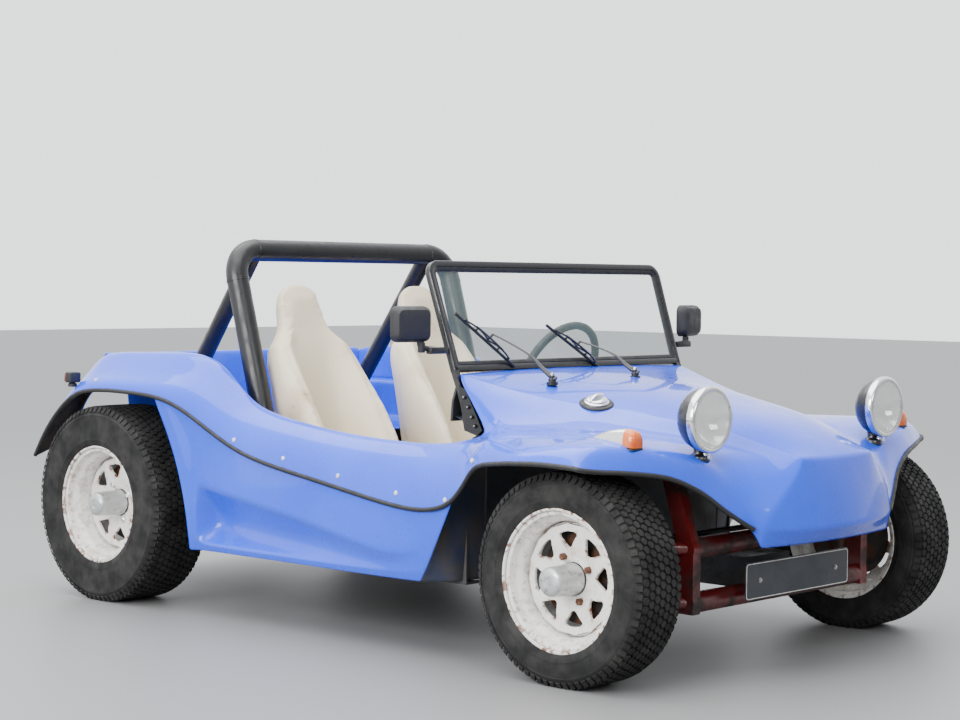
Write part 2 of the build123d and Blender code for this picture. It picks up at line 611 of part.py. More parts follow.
# Mirrors on the windscreen posts and the pair of wipers
MIRROR_X = SCREEN_TOP_HALF + 99.0
MIRROR_Z = 955.0
MIRROR_BACK = 661.0
MIRROR_HALF_WIDTH = 66.0
MIRROR_HALF_HEIGHT = 52.0
MIRROR_DEPTH = 26.0
MIRROR_ARM_RADIUS = 6.0
MIRROR_ARM_Z = 880.0
MIRROR_ARM_X = SCREEN_TOP_HALF + 8.0
for side, name in ((1, "left"), (-1, "right")):
    with BuildPart() as side_mirror:
        with BuildSketch(Plane.XZ.offset(-(FRONT_AXLE_Y + MIRROR_BACK))):
            with Locations((side * MIRROR_X, MIRROR_Z)):
                Ellipse(MIRROR_HALF_WIDTH, MIRROR_HALF_HEIGHT)
        extrude(amount=MIRROR_DEPTH)
        root = Vector(side * MIRROR_ARM_X, FRONT_AXLE_Y + MIRROR_BACK - MIRROR_DEPTH, MIRROR_ARM_Z)
        head = Vector(side * MIRROR_X, FRONT_AXLE_Y + MIRROR_BACK - MIRROR_DEPTH / 2, MIRROR_Z)
        with BuildSketch(Plane(origin=root, z_dir=head - root)):
            Circle(MIRROR_ARM_RADIUS)
        extrude(amount=(head - root).length)
    save(side_mirror.part, f"mirror_{name}")
WIPER_GAP = 20.0
WIPER_WIDTH = 10.0
WIPER_BLADE = 330.0
WIPER_PIVOTS = [("right", -190.0, 24.0), ("left", 230.0, 24.0)]
for name, pivot_x, lift in WIPER_PIVOTS:
    with BuildPart() as wiper:
        with BuildSketch(screen_plane.offset(SCREEN_DEPTH / 2 + WIPER_GAP / 2)):
            with Locations((pivot_x, lift)):
                Circle(WIPER_WIDTH)
                Rectangle(WIPER_BLADE, WIPER_WIDTH, rotation=-14, align=(Align.MAX, Align.CENTER))
        extrude(amount=WIPER_WIDTH)
    save(wiper.part, f"wiper_{name}")

# Front beam: two tubes, their towers and the trailing arms down to the knuckles
beam_y = FRONT_AXLE_Y - BEAM_LEAD
hub_z = FRONT_TYRE_RADIUS - 6.0
EYE_RADIUS = 22.0
EYE_HEIGHT = 34.0
EYE_DROP = 78.0                 # hub height to the middle of a trailing arm's eye
with BuildPart() as front_beam:
    for rise in (0, BEAM_TUBE_RISE):
        with Locations((0, beam_y, BEAM_LOWER_Z + rise)):
            Cylinder(BEAM_TUBE_RADIUS, 2 * BEAM_HALF_LENGTH, rotation=(0, 90, 0))
    for side in (-1, 1):
        with BuildSketch(Plane.YZ.offset(side * (BEAM_HALF_LENGTH - TOWER_THICK / 2))):
            with BuildLine():
                Polyline(
                    (beam_y - TOWER_DEPTH / 2, BEAM_LOWER_Z - BEAM_TUBE_RADIUS),
                    (beam_y + TOWER_DEPTH / 2, BEAM_LOWER_Z - BEAM_TUBE_RADIUS),
                    (beam_y + TOWER_DEPTH / 2, BEAM_LOWER_Z + BEAM_TUBE_RISE),
                    (beam_y + TOWER_DEPTH / 2 + TOWER_LEAN, TOWER_TOP_Z),
                    (beam_y - TOWER_DEPTH / 2 + TOWER_LEAN, TOWER_TOP_Z),
                    (beam_y - TOWER_DEPTH / 2, BEAM_LOWER_Z + BEAM_TUBE_RISE),
                    close=True,
                )
            make_face()
        extrude(amount=TOWER_THICK / 2, both=True)
        for drop, rise in ((-EYE_DROP, 0), (EYE_DROP, BEAM_TUBE_RISE)):
            eye = Vector(side * KINGPIN_X, FRONT_AXLE_Y, hub_z + drop)
            root = Vector(side * (BEAM_HALF_LENGTH - TOWER_THICK / 2), beam_y, BEAM_LOWER_Z + rise)
            with Locations(eye):
                Cylinder(EYE_RADIUS, EYE_HEIGHT)
            with BuildSketch(Plane(origin=root, z_dir=eye - root)):
                Circle(ARM_RADIUS)
            extrude(amount=(eye - root).length)
save(front_beam.part, "front_beam")

# Knuckles: kingpin, spindle, brake drum and steering arm
DRUM_GAP = 32.0                 # kingpin to the drum's inner face
PIN_LENGTH = 2 * (EYE_DROP - EYE_HEIGHT / 2 - STEER_GAP)
for side, name in ((1, "left"), (-1, "right")):
    with BuildPart() as knuckle:
        with Locations((side * KINGPIN_X, FRONT_AXLE_Y, hub_z)):
            Cylinder(KINGPIN_RADIUS, PIN_LENGTH)
            Cylinder(SPINDLE_RADIUS, DRUM_GAP + DRUM_LENGTH, rotation=(0, side * 90, 0),
                     align=(Align.CENTER, Align.CENTER, Align.MIN))
        with Locations((side * (KINGPIN_X + DRUM_GAP + DRUM_LENGTH / 2), FRONT_AXLE_Y, hub_z)):
            Cylinder(DRUM_RADIUS, DRUM_LENGTH, rotation=(0, 90, 0))
        with Locations((side * KINGPIN_X, FRONT_AXLE_Y, hub_z + EYE_DROP / 2)):
            Box(2 * ROD_RADIUS, STEER_ARM, ROD_RADIUS, align=(Align.CENTER, Align.MIN, Align.CENTER))
        with Locations((side * KINGPIN_X, FRONT_AXLE_Y + STEER_ARM, hub_z + EYE_DROP / 2)):
            Cylinder(1.6 * ROD_RADIUS, ROD_RADIUS)
    save(knuckle.part, f"knuckle_{name}")
rod_z = hub_z + EYE_DROP / 2 + ROD_RADIUS / 2 + COLUMN_GAP / 10
with BuildPart() as track_rod:
    with Locations((0, FRONT_AXLE_Y + STEER_ARM, rod_z + ROD_RADIUS)):
        Cylinder(ROD_RADIUS, 2 * KINGPIN_X, rotation=(0, 90, 0))
save(track_rod.part, "track_rod")


# Wheels: a dished disc in a rolled rim, and the tyre on it
def wheel(side, lip_x, axle_y, centre_z, inset, width):
    """Rim with its disc, hand holes, lug nuts and hub cap."""
    outward = Plane(origin=(side * lip_x, axle_y, centre_z), x_dir=(side, 0, 0), z_dir=(0, 0, 1))
    face = Plane(origin=(side * (lip_x - inset), axle_y, centre_z), x_dir=(0, 1, 0), z_dir=(side, 0, 0))
    with BuildPart() as rim:
        add(turned(outward, [
            (0, RIM_LIP_RADIUS), (0, RIM_LIP_RADIUS - RIM_WALL),
            (-RIM_LIP_RADIUS + RIM_BARREL_RADIUS, RIM_BARREL_RADIUS - RIM_WALL),
            (-width, RIM_BARREL_RADIUS - RIM_WALL), (-width - RIM_WALL, RIM_LIP_RADIUS),
            (-width, RIM_LIP_RADIUS), (-width + RIM_WALL, RIM_BARREL_RADIUS),
            (-RIM_LIP_RADIUS + RIM_BARREL_RADIUS - RIM_WALL, RIM_BARREL_RADIUS), (-RIM_WALL, RIM_LIP_RADIUS),
        ]))
        with BuildSketch(face):
            Circle(RIM_BARREL_RADIUS - RIM_WALL / 2)
        extrude(amount=-DISC_WALL)
        with BuildSketch(face) as holes:
            for hole in range(HAND_HOLES):
                with Locations(Rotation(0, 0, hole * 360 / HAND_HOLES)):
                    Polygon(
                        (HAND_HOLE_INNER_RADIUS, 0),
                        (HAND_HOLE_OUTER_RADIUS, HAND_HOLE_WIDTH / 2),
                        (HAND_HOLE_OUTER_RADIUS, -HAND_HOLE_WIDTH / 2),
                        align=None,
                    )
        extrude(amount=-2 * DISC_WALL, both=True, mode=Mode.SUBTRACT)
        with BuildSketch(face):
            with PolarLocations(LUG_CIRCLE_RADIUS, LUGS, start_angle=45):
                Circle(LUG_RADIUS)
        extrude(amount=LUG_HEIGHT)
        with BuildSketch(face):
            Circle(CAP_RADIUS)
        extrude(amount=CAP_LENGTH)
    return rim.part


def tyre(side, lip_x, axle_y, centre_z, radius, width):
    """Tyre seated on the rim's barrel, between its lips."""
    outward = Plane(origin=(side * lip_x, axle_y, centre_z), x_dir=(side, 0, 0), z_dir=(0, 0, 1))
    seat_width = width - 2 * TYRE_BULGE
    height = radius - RIM_BARREL_RADIUS
    return turned(outward, [
        (-2 * RIM_WALL - RIM_LIP_RADIUS + RIM_BARREL_RADIUS, RIM_BARREL_RADIUS + POD_GAP / 10),
        (-RIM_WALL, RIM_LIP_RADIUS + POD_GAP / 10),
        (TYRE_BULGE, RIM_BARREL_RADIUS + 0.5 * height),
        (TYRE_BULGE - 0.08 * width, radius - 0.06 * height),
        (TYRE_BULGE - 0.14 * width, radius),
        (TYRE_BULGE - 0.86 * width, radius),
        (TYRE_BULGE - 0.92 * width, radius - 0.06 * height),
        (TYRE_BULGE - width, RIM_BARREL_RADIUS + 0.5 * height),
        (RIM_WALL - seat_width, RIM_LIP_RADIUS + POD_GAP / 10),
        (2 * RIM_WALL - seat_width, RIM_BARREL_RADIUS + POD_GAP / 10),
    ])


rear_hub_z = REAR_TYRE_RADIUS - 6.0
for side, name in ((1, "left"), (-1, "right")):
    for end, lip_x, axle_y, centre_z, inset, radius, width in (
        ("front", FRONT_LIP_X, FRONT_AXLE_Y, hub_z, FRONT_DISC_INSET, FRONT_TYRE_RADIUS, FRONT_TYRE_WIDTH),
        ("rear", REAR_LIP_X, REAR_AXLE_Y, rear_hub_z, REAR_DISC_INSET, REAR_TYRE_RADIUS, REAR_TYRE_WIDTH),
    ):
        save(wheel(side, lip_x, axle_y, centre_z, inset, width - 2 * TYRE_BULGE), f"{end}_rim_{name}")
        save(tyre(side, lip_x, axle_y, centre_z, radius, width), f"{end}_tyre_{name}")

# Rear axle: gearbox, swing tubes, brake drums and the torsion tube with its arms
GEARBOX_RADIUS = 105.0
GEARBOX_FRONT = 270.0
GEARBOX_REAR = 92.0
AXLE_RADIUS = 34.0
TORSION_RADIUS = 50.0
TAIL_TUBE_RADIUS = 41.0
TORSION_LEAD = 330.0
TORSION_HALF = REAR_LIP_X - 289.0
TORSION_Z = 300.0
SPRING_PLATE_X = TORSION_HALF - 10.0
SPRING_PLATE_HEIGHT = 84.0
rear_drum_face = REAR_LIP_X - REAR_DISC_INSET - DISC_WALL - COLUMN_GAP
with BuildPart() as rear_axle:
    with Locations((0, REAR_AXLE_Y, rear_hub_z)):
        Cylinder(AXLE_RADIUS, 2 * rear_drum_face, rotation=(0, 90, 0))
    with Locations((0, REAR_AXLE_Y + GEARBOX_REAR, rear_hub_z)):
        Cylinder(GEARBOX_RADIUS, GEARBOX_FRONT + GEARBOX_REAR, rotation=(90, 0, 0),
                 align=(Align.CENTER, Align.CENTER, Align.MIN))
    with Locations((0, REAR_AXLE_Y - TORSION_LEAD, TORSION_Z)):
        Cylinder(TORSION_RADIUS, 2 * TORSION_HALF, rotation=(0, 90, 0))
    with Locations((0, REAR_AXLE_Y - TORSION_LEAD, TORSION_Z)):
        Cylinder(TAIL_TUBE_RADIUS, TORSION_LEAD, rotation=(90, 0, 0), align=(Align.CENTER, Align.CENTER, Align.MAX))
    for side in (-1, 1):
        with Locations((side * rear_drum_face, REAR_AXLE_Y, rear_hub_z)):
            Cylinder(DRUM_RADIUS, DRUM_LENGTH, rotation=(0, -side * 90, 0),
                     align=(Align.CENTER, Align.CENTER, Align.MIN))
        with Locations((side * SPRING_PLATE_X, REAR_AXLE_Y, rear_hub_z)):
            Box(DISC_WALL, TORSION_LEAD, SPRING_PLATE_HEIGHT,
                align=(Align.CENTER, Align.MAX, Align.CENTER))
save(rear_axle.part, "rear_axle")

# Engine: one block with its cylinder banks, and the upright fan housing over it
ENGINE_START = 110.0
ENGINE_LENGTH = 225.0
CASE_HALF = 130.0
CASE_LOW_Z = 190.0
CASE_HIGH_Z = 400.0
BANK_HALF = 370.0
BANK_Z = 300.0
BANK_HEIGHT = 130.0
SHROUD_HALF = 300.0
SHROUD_DEPTH = 90.0
SHROUD_HIGH_Z = 540.0
with BuildPart() as engine:
    with Locations((0, REAR_AXLE_Y + ENGINE_START, CASE_LOW_Z)):
        Box(2 * CASE_HALF, ENGINE_LENGTH, CASE_HIGH_Z - CASE_LOW_Z, align=(Align.CENTER, Align.MIN, Align.MIN))
    with Locations((0, REAR_AXLE_Y + ENGINE_START, BANK_Z)):
        Box(2 * BANK_HALF, ENGINE_LENGTH, BANK_HEIGHT, align=(Align.CENTER, Align.MIN, Align.CENTER))
save(engine.part, "engine")
with BuildPart() as fan_housing:
    with Locations((0, REAR_AXLE_Y + ENGINE_START + ENGINE_LENGTH / 4, CASE_HIGH_Z)):
        Box(2 * SHROUD_HALF, SHROUD_DEPTH, SHROUD_HIGH_Z - CASE_HIGH_Z, align=(Align.CENTER, Align.MIN, Align.MIN))
save(fan_housing.part, "fan_housing")

# Exhaust: silencer across the tail with two pipes
SILENCER_RADIUS = 58.0
SILENCER_HALF = 330.0
SILENCER_Y = 425.0
SILENCER_Z = 250.0
PIPE_RADIUS = 19.0
PIPE_X = 120.0
with BuildPart() as exhaust:
    with Locations((0, REAR_AXLE_Y + SILENCER_Y - PIPE_RADIUS, SILENCER_Z)):
        Cylinder(SILENCER_RADIUS, 2 * SILENCER_HALF, rotation=(0, 90, 0))
    for side in (-1, 1):
        with Locations((side * PIPE_X, REAR_AXLE_Y + REAR_OVERHANG, SILENCER_Z)):
            Cylinder(PIPE_RADIUS, REAR_OVERHANG - SILENCER_Y + SILENCER_RADIUS, rotation=(90, 0, 0),
                     align=(Align.CENTER, Align.CENTER, Align.MIN))
save(exhaust.part, "exhaust")
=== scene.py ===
# %% [markdown]
# # Dressing a dune buggy
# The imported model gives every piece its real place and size. This script loads it and dresses it: a smooth
# moulded body, worn wheels, vinyl seats, bright lamps and painted steel, each made in its own short step.

# %% Load the frame
from math import cos, pi, radians, sin, tan, tau

import bmesh
import bpy
from mathutils import Matrix, Vector


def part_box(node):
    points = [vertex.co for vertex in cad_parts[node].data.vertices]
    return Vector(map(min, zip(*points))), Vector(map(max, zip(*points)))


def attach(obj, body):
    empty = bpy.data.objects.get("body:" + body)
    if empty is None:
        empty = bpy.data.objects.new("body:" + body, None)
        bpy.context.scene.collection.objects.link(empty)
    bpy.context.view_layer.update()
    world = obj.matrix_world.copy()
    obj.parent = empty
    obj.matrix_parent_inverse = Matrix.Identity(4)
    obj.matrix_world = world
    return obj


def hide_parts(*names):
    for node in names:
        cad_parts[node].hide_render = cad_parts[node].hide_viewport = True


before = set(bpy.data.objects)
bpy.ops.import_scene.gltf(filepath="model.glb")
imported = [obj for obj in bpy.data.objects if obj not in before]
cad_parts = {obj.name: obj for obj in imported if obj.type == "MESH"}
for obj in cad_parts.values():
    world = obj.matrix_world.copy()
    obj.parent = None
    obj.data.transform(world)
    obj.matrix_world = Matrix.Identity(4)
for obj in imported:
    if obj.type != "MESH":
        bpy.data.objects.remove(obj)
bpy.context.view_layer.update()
print("nodes in the frame:", len(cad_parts))

# %% [markdown]
# ## Where things are
# Places are given from the front axle line on the ground: across, behind the axle, and up, in millimetres.
# The axle's own place is read from the frame, so nothing has to be fitted by hand. The car's left is +X.

# %% Axles and places
MM = 0.001
ACROSS, BEHIND, UP = Vector((1, 0, 0)), Vector((0, 1, 0)), Vector((0, 0, 1))
SIDES = ((1, "left"), (-1, "right"))


def middle(node):
    """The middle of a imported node's box."""
    low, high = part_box(node)
    return (low + high) / 2


FRONT_AXLE_Y = middle("front_rim_left").y
REAR_AXLE_Y = middle("rear_rim_left").y
print("wheelbase", round(REAR_AXLE_Y - FRONT_AXLE_Y, 3))


def spot(across, behind, up):
    """A place in the scene from millimetres across, behind the front axle and up."""
    return Vector((across * MM, FRONT_AXLE_Y + behind * MM, up * MM))


# %% [markdown]
# ## The camera
# The photograph was taken from the car's front right corner, a little over a metre up and over six metres
# away, with a long lens. The camera stands there, turned by its heading, its pitch and a slight roll.

# %% Camera
SENSOR = 36.0
FOCAL_PIXELS = 2020.3
PHOTO_WIDTH = 960
HEADING, PITCH, ROLL = radians(47.16), radians(2.245), radians(0.573)

lens = bpy.data.cameras.new("camera")
lens.sensor_width = SENSOR
lens.lens = FOCAL_PIXELS / PHOTO_WIDTH * SENSOR
camera = bpy.data.objects.new("camera", lens)
bpy.context.scene.collection.objects.link(camera)
camera.location = spot(-4839.65, -3483.59, 1083.28)
aim = Matrix.Rotation(-HEADING, 4, "Z") @ Matrix.Rotation(pi / 2 - PITCH, 4, "X") @ Matrix.Rotation(ROLL, 4, "Z")
camera.rotation_euler = aim.to_euler()
bpy.context.scene.camera = camera
print("lens", round(lens.lens, 1), "mm")

# %% [markdown]
# ## Nodes for finishes
# Every finish is one Principled shader. What is the same all over is set on its own sockets; what changes
# over the surface, such as grain, dust and rust, comes from noise in the piece's own space, so it stays on
# the piece when a wheel turns.

# %% Materials and their nodes


def finish(name, colour, rough, metal=0.0, **sockets):
    """A new material, its look set on the shader's own sockets."""
    paint = bpy.data.materials.new(name)
    paint.use_nodes = True
    shader = paint.node_tree.nodes["Principled BSDF"]
    shader.inputs["Base Color"].default_value = (*colour, 1)
    shader.inputs["Roughness"].default_value = rough
    shader.inputs["Metallic"].default_value = metal
    for socket, value in sockets.items():
        shader.inputs[socket.replace("_", " ")].default_value = value
    return paint


def node(paint, kind, settings=None, **sockets):
    """Adds a shader node; each socket takes a value or a link."""
    made = paint.node_tree.nodes.new("ShaderNode" + kind)
    for key, value in (settings or {}).items():
        setattr(made, key, value)
    for key, value in sockets.items():
        socket = made.inputs[key.replace("_", " ")]
        if isinstance(value, bpy.types.NodeSocket):
            paint.node_tree.links.new(value, socket)
        else:
            socket.default_value = value
    return made


def drive(paint, socket, value):
    """Links a value to one socket of the finish's shader."""
    paint.node_tree.links.new(value, paint.node_tree.nodes["Principled BSDF"].inputs[socket])


# %% Noise and what is made of it
def cloud(paint, scale, detail=4.0, low=0.35, high=0.65, stretch=(1, 1, 1)):
    """Noise in the piece's own space, brought between 0 and 1."""
    place = node(paint, "TexCoord").outputs["Object"]
    if stretch != (1, 1, 1):
        place = node(paint, "Mapping", Vector=place, Scale=stretch).outputs["Vector"]
    mist = node(paint, "TexNoise", Vector=place, Scale=scale, Detail=detail).outputs["Fac"]
    spread = node(paint, "MapRange", {"interpolation_type": "SMOOTHSTEP"}, Value=mist, From_Min=low, From_Max=high)
    return spread.outputs["Result"]


def blend(paint, share, first, second):
    """A colour between two, by a share."""
    mixer = node(paint, "Mix", {"data_type": "RGBA"})
    for socket, value in ((mixer.inputs[0], share), (mixer.inputs[6], first), (mixer.inputs[7], second)):
        if isinstance(value, bpy.types.NodeSocket):
            paint.node_tree.links.new(value, socket)
        else:
            socket.default_value = (*value, 1) if isinstance(value, tuple) else value
    return mixer.outputs[2]


def between(paint, share, low, high):
    """A number between two, by a share."""
    return node(paint, "MapRange", Value=share, To_Min=low, To_Max=high).outputs["Result"]


def product(paint, first, second):
    """Two shares multiplied."""
    made = paint.node_tree.nodes.new("ShaderNodeMath")
    made.operation = "MULTIPLY"
    paint.node_tree.links.new(first, made.inputs[0])
    paint.node_tree.links.new(second, made.inputs[1])
    return made.outputs[0]


def relief(paint, height, depth, strength=1.0):
    """Bump from a height between 0 and 1, its depth in millimetres."""
    bump = node(paint, "Bump", Height=height, Distance=depth * MM, Strength=strength)
    drive(paint, "Normal", bump.outputs["Normal"])


def marked(paint, name):
    """A mark that the mesh carries, such as wear along an edge."""
    return node(paint, "Attribute", {"attribute_name": name}).outputs["Fac"]


# %% Worn finishes
def worn(name, colour, rough, metal=0.0, tones=None, gloss=None, grain=None, **sockets):
    """A finish that changes over the surface. Each of tones, gloss and grain starts with the settings of a cloud.

    Then come two colours, two roughnesses, or the bump's depth and strength. Gloss may say None to share the
    cloud of tones.
    """
    paint = finish(name, colour, rough, metal, **sockets)
    mist = cloud(paint, *tones[0]) if tones else None
    if tones:
        drive(paint, "Base Color", blend(paint, mist, *tones[1:]))
    if gloss:
        drive(paint, "Roughness", between(paint, cloud(paint, *gloss[0]) if gloss[0] else mist, *gloss[1:]))
    if grain:
        relief(paint, cloud(paint, *grain[0]), *grain[1:])
    return paint


# %% [markdown]
# ## Pieces from rings
# Most pieces here are rings of points joined by faces: a lamp is rings turned about an axis, a tube is rings
# along a path. One helper joins rings; the others only say where the rings lie. Edges sharper than a set
# angle are marked sharp, so a lip stays crisp while a bowl shades smooth.

# %% Rings and turned forms


def join(mesh, near, far, closed=True):
    """Joins two rings of vertices by quads."""
    count = len(near)
    return [mesh.faces.new((near[i], near[(i + 1) % count], far[(i + 1) % count], far[i]))
            for i in range(count if closed else count - 1)]


def add_rings(mesh, rings, closed=True, caps=False, paint=0):
    """Lays rings of places and joins each to the next."""
    rows = [[mesh.verts.new(place) for place in ring] for ring in rings]
    faces = [face for near, far in zip(rows, rows[1:]) for face in join(mesh, near, far, closed)]
    if caps:
        faces += [mesh.faces.new(rows[0][::-1]), mesh.faces.new(rows[-1])]
    for face in faces:
        face.material_index = paint


def add_turned(mesh, centre, axis, profile, steps=48, paint=0):
    """Turns a profile of (along, radius) about an axis."""
    axis = Vector(axis).normalized()
    side = axis.orthogonal().normalized()
    other = axis.cross(side)
    turns = [tau * i / steps for i in range(steps)]
    add_rings(mesh, [[centre + (axis * along + (side * cos(t) + other * sin(t)) * radius) * MM for t in turns]
                     for along, radius in profile], paint=paint)


# %% Tubes and sweeps
def add_tube(mesh, path, radius, sides=14, paint=0, squash=1.0):
    """Sweeps a round or oval section along a path of places; the radius may change along it."""
    rings, side = [], None
    for i, place in enumerate(path):
        ahead = (path[min(i + 1, len(path) - 1)] - path[max(i - 1, 0)]).normalized()
        side = side or ahead.orthogonal()
        side = (side - ahead * side.dot(ahead)).normalized()
        other = ahead.cross(side)
        here = radius[i] if isinstance(radius, (list, tuple)) else radius
        rings.append([place + (side * cos(tau * k / sides) + other * sin(tau * k / sides) * squash) * here * MM
                      for k in range(sides)])
    add_rings(mesh, rings, caps=True, paint=paint)


def add_swept(mesh, path, section, normal, closed=False, paint=0):
    """Sweeps a section of (inward, out) along a flat path whose plane has this normal."""
    rings, count = [], len(path)
    for i, place in enumerate(path):
        before = path[(i - 1) % count] if closed or i else path[i]
        after = path[(i + 1) % count] if closed or i < count - 1 else path[i]
        inward = normal.cross((after - before).normalized())
        rings.append([place + (inward * a + normal * b) * MM for a, b in section])
    if closed:
        rings.append(rings[0])
    add_rings(mesh, rings, caps=not closed, paint=paint)


# %% Blocks
def add_block(mesh, low, high, bevel, paint=0):
    """A block between two corners in millimetres, its edges rounded."""
    made = bmesh.ops.create_cube(mesh, size=1.0)["verts"]
    centre, size = spot(*(Vector(low) + Vector(high)) / 2), Vector(high) - Vector(low)
    for vert in made:
        vert.co = centre + Vector(a * b for a, b in zip(vert.co, size)) * MM
    for face in {face for vert in made for face in vert.link_faces}:
        face.material_index = paint
    edges = list({edge for vert in made for edge in vert.link_edges})
    out = bmesh.ops.bevel(mesh, geom=edges, offset=bevel * MM, segments=2, affect="EDGES", profile=0.6)
    for face in out["faces"]:
        face.material_index = paint


# %% Round corners and smooth lines
def rounded(corners, radius, steps=8):
    """A path whose inner corners are arcs; the radius is in millimetres."""
    path = [corners[0]]
    for before, here, after in zip(corners, corners[1:], corners[2:]):
        back, on = (before - here).normalized(), (after - here).normalized()
        half = back.angle(on) / 2
        centre = here + (back + on).normalized() * (radius * MM / sin(half))
        reach = radius * MM / tan(half)
        start, stop = here + back * reach - centre, here + on * reach - centre
        path += [centre + start.slerp(stop, step / steps).normalized() * radius * MM for step in range(steps + 1)]
    return path + [corners[-1]]


def flowing(points, steps=6):
    """A smooth line through the points."""
    line = []
    for i in range(len(points) - 1):
        a, b = points[max(i - 1, 0)], points[i]
        c, d = points[i + 1], points[min(i + 2, len(points) - 1)]
        for step in range(steps):
            t = step / steps
            line.append(0.5 * (2 * b + (c - a) * t + (2 * a - 5 * b + 4 * c - d) * t * t
                               + (3 * b - a - 3 * c + d) * t ** 3))
    return line + [points[-1]]


# %% Pieces and their skins
def piece(name, mesh, paints, body="car", replaces=(), sharp=38, outward=True):
    """Turns built faces into a piece: smooth shading, sharp edges, finish, slot and body."""
    bmesh.ops.remove_doubles(mesh, verts=mesh.verts, dist=0.00002)
    if outward:
        bmesh.ops.recalc_face_normals(mesh, faces=mesh.faces)
    for face in mesh.faces:
        face.smooth = True
    for edge in mesh.edges:
        edge.smooth = not edge.is_manifold or edge.calc_face_angle(0.0) < radians(sharp)
    data = bpy.data.meshes.new(name)
    mesh.to_mesh(data)
    mesh.free()
    thing = bpy.data.objects.new(name, data)
    bpy.context.scene.collection.objects.link(thing)
    for paint in paints:
        data.materials.append(paint)
    if replaces:
        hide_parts(*replaces)
    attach(thing, body)
    print(name, len(data.polygons), "faces")
    return thing


def subdivided(thing, levels):
    """Rounds a coarse net by subdivision."""
    modifier = thing.modifiers.new("subdivision", "SUBSURF")
    modifier.levels = modifier.render_levels = levels


def walled(thing, thick, offset=-1, inner=0):
    """Gives a skin its thickness in millimetres; inner is the step to the finish of its inner face."""
    wall = thing.modifiers.new("wall", "SOLIDIFY")
    wall.thickness, wall.offset, wall.material_offset = thick * MM, offset, inner


def sharpen(mesh, layer, verts, amount):
    """Creases the edges between neighbours in a line of vertices."""
    for a, b in zip(verts, verts[1:]):
        edge = mesh.edges.get((a, b))
        edge[layer] = max(edge[layer], amount)


# %% [markdown]
# ## Floor and light
# A pale studio: a wide floor, a soft world light and large area lamps, so that the glossy body shows long
# calm reflections, as a showroom gives.

# %% Studio
floor_paint = finish("studio_floor", (0.24, 0.24, 0.243), 0.5)
bpy.ops.mesh.primitive_plane_add(size=60)
floor = bpy.context.object
floor.name = "studio_floor"
floor.data.materials.append(floor_paint)

# The studio is white behind the car and darker in front of it, so the nose and the flanks keep their shape.
world = bpy.data.worlds.new("studio")
world.use_nodes = True
sky = world.node_tree.nodes["Background"]
toward = world.node_tree.nodes.new("ShaderNodeSeparateXYZ")
fall = world.node_tree.nodes.new("ShaderNodeMapRange")
for socket, value in (("From Min", -0.9), ("From Max", 0.15), ("To Min", 0.5), ("To Max", 2.15)):
    fall.inputs[socket].default_value = value
world.node_tree.links.new(world.node_tree.nodes.new("ShaderNodeTexCoord").outputs["Generated"], toward.inputs[0])
world.node_tree.links.new(toward.outputs["Y"], fall.inputs["Value"])
world.node_tree.links.new(fall.outputs["Result"], sky.inputs["Strength"])
sky.inputs["Color"].default_value = (0.96, 0.98, 1.0, 1)
bpy.context.scene.world = world


def soft_lamp(name, place, aim, size, power):
    """An area lamp of this width and height at a place, aimed at another, in metres and watts."""
    light = bpy.data.lights.new(name, "AREA")
    light.shape = "RECTANGLE"
    light.size, light.size_y = size
    light.energy = power
    lamp = bpy.data.objects.new(name, light)
    lamp.location = place
    lamp.rotation_euler = (Vector(aim) - Vector(place)).to_track_quat("-Z", "Y").to_euler()
    bpy.context.scene.collection.objects.link(lamp)


soft_lamp("overhead", (-0.6, 0.4, 5.0), (0, 0, 0), (7.0, 5.0), 430)
soft_lamp("near_side", (-6.5, -1.2, 3.0), (0, 0.2, 0.6), (4.5, 2.5), 430)
soft_lamp("front", (-2.5, -6.5, 3.6), (0, 0, 0.6), (3.0, 2.0), 120)
print("lights placed")

# %% [markdown]
# ## Finishes of the body
# The gel coat of the shell is a clear, glossy blue with a faint waviness that shows only in reflections. A
# coat layer gives that gloss; slow noise moves the colour a little, and fine noise bends the light. Inside,
# the same moulding is left rough and dark, dusty under the fenders.

# %% Body paints
BODY_BLUE = (0.018, 0.085, 0.8)
body_paint = worn("body_gel_coat", BODY_BLUE, 0.3, tones=((3.0,), BODY_BLUE, (0.024, 0.1, 0.86)),
                  gloss=((14.0,), 0.24, 0.34), grain=((7.0, 2.0, 0.2, 0.8), 0.9, 0.25),
                  Coat_Weight=0.6, Coat_Roughness=0.04, Specular_IOR_Level=0.2)
inside_paint = worn("body_inside", (0.02, 0.018, 0.016), 0.85, grain=((120.0, 6.0), 1.2),
                    tones=((9.0,), (0.012, 0.012, 0.014), (0.075, 0.058, 0.042)))
rubber = worn("black_rubber", (0.012, 0.012, 0.013), 0.5, gloss=((40.0,), 0.42, 0.62), grain=((500.0,), 0.2))
print("body paints made")

# %% [markdown]
# ## The body shell
# The real shell is a glass-fibre moulding: crowned, creased in a few places and smooth everywhere else. A
# subdivision surface suits it. A coarse net of points is laid along the lines a modeller would draw: the
# centreline, the shoulder, the valley, the fender's crease and the edge. Subdivision then rounds the net.

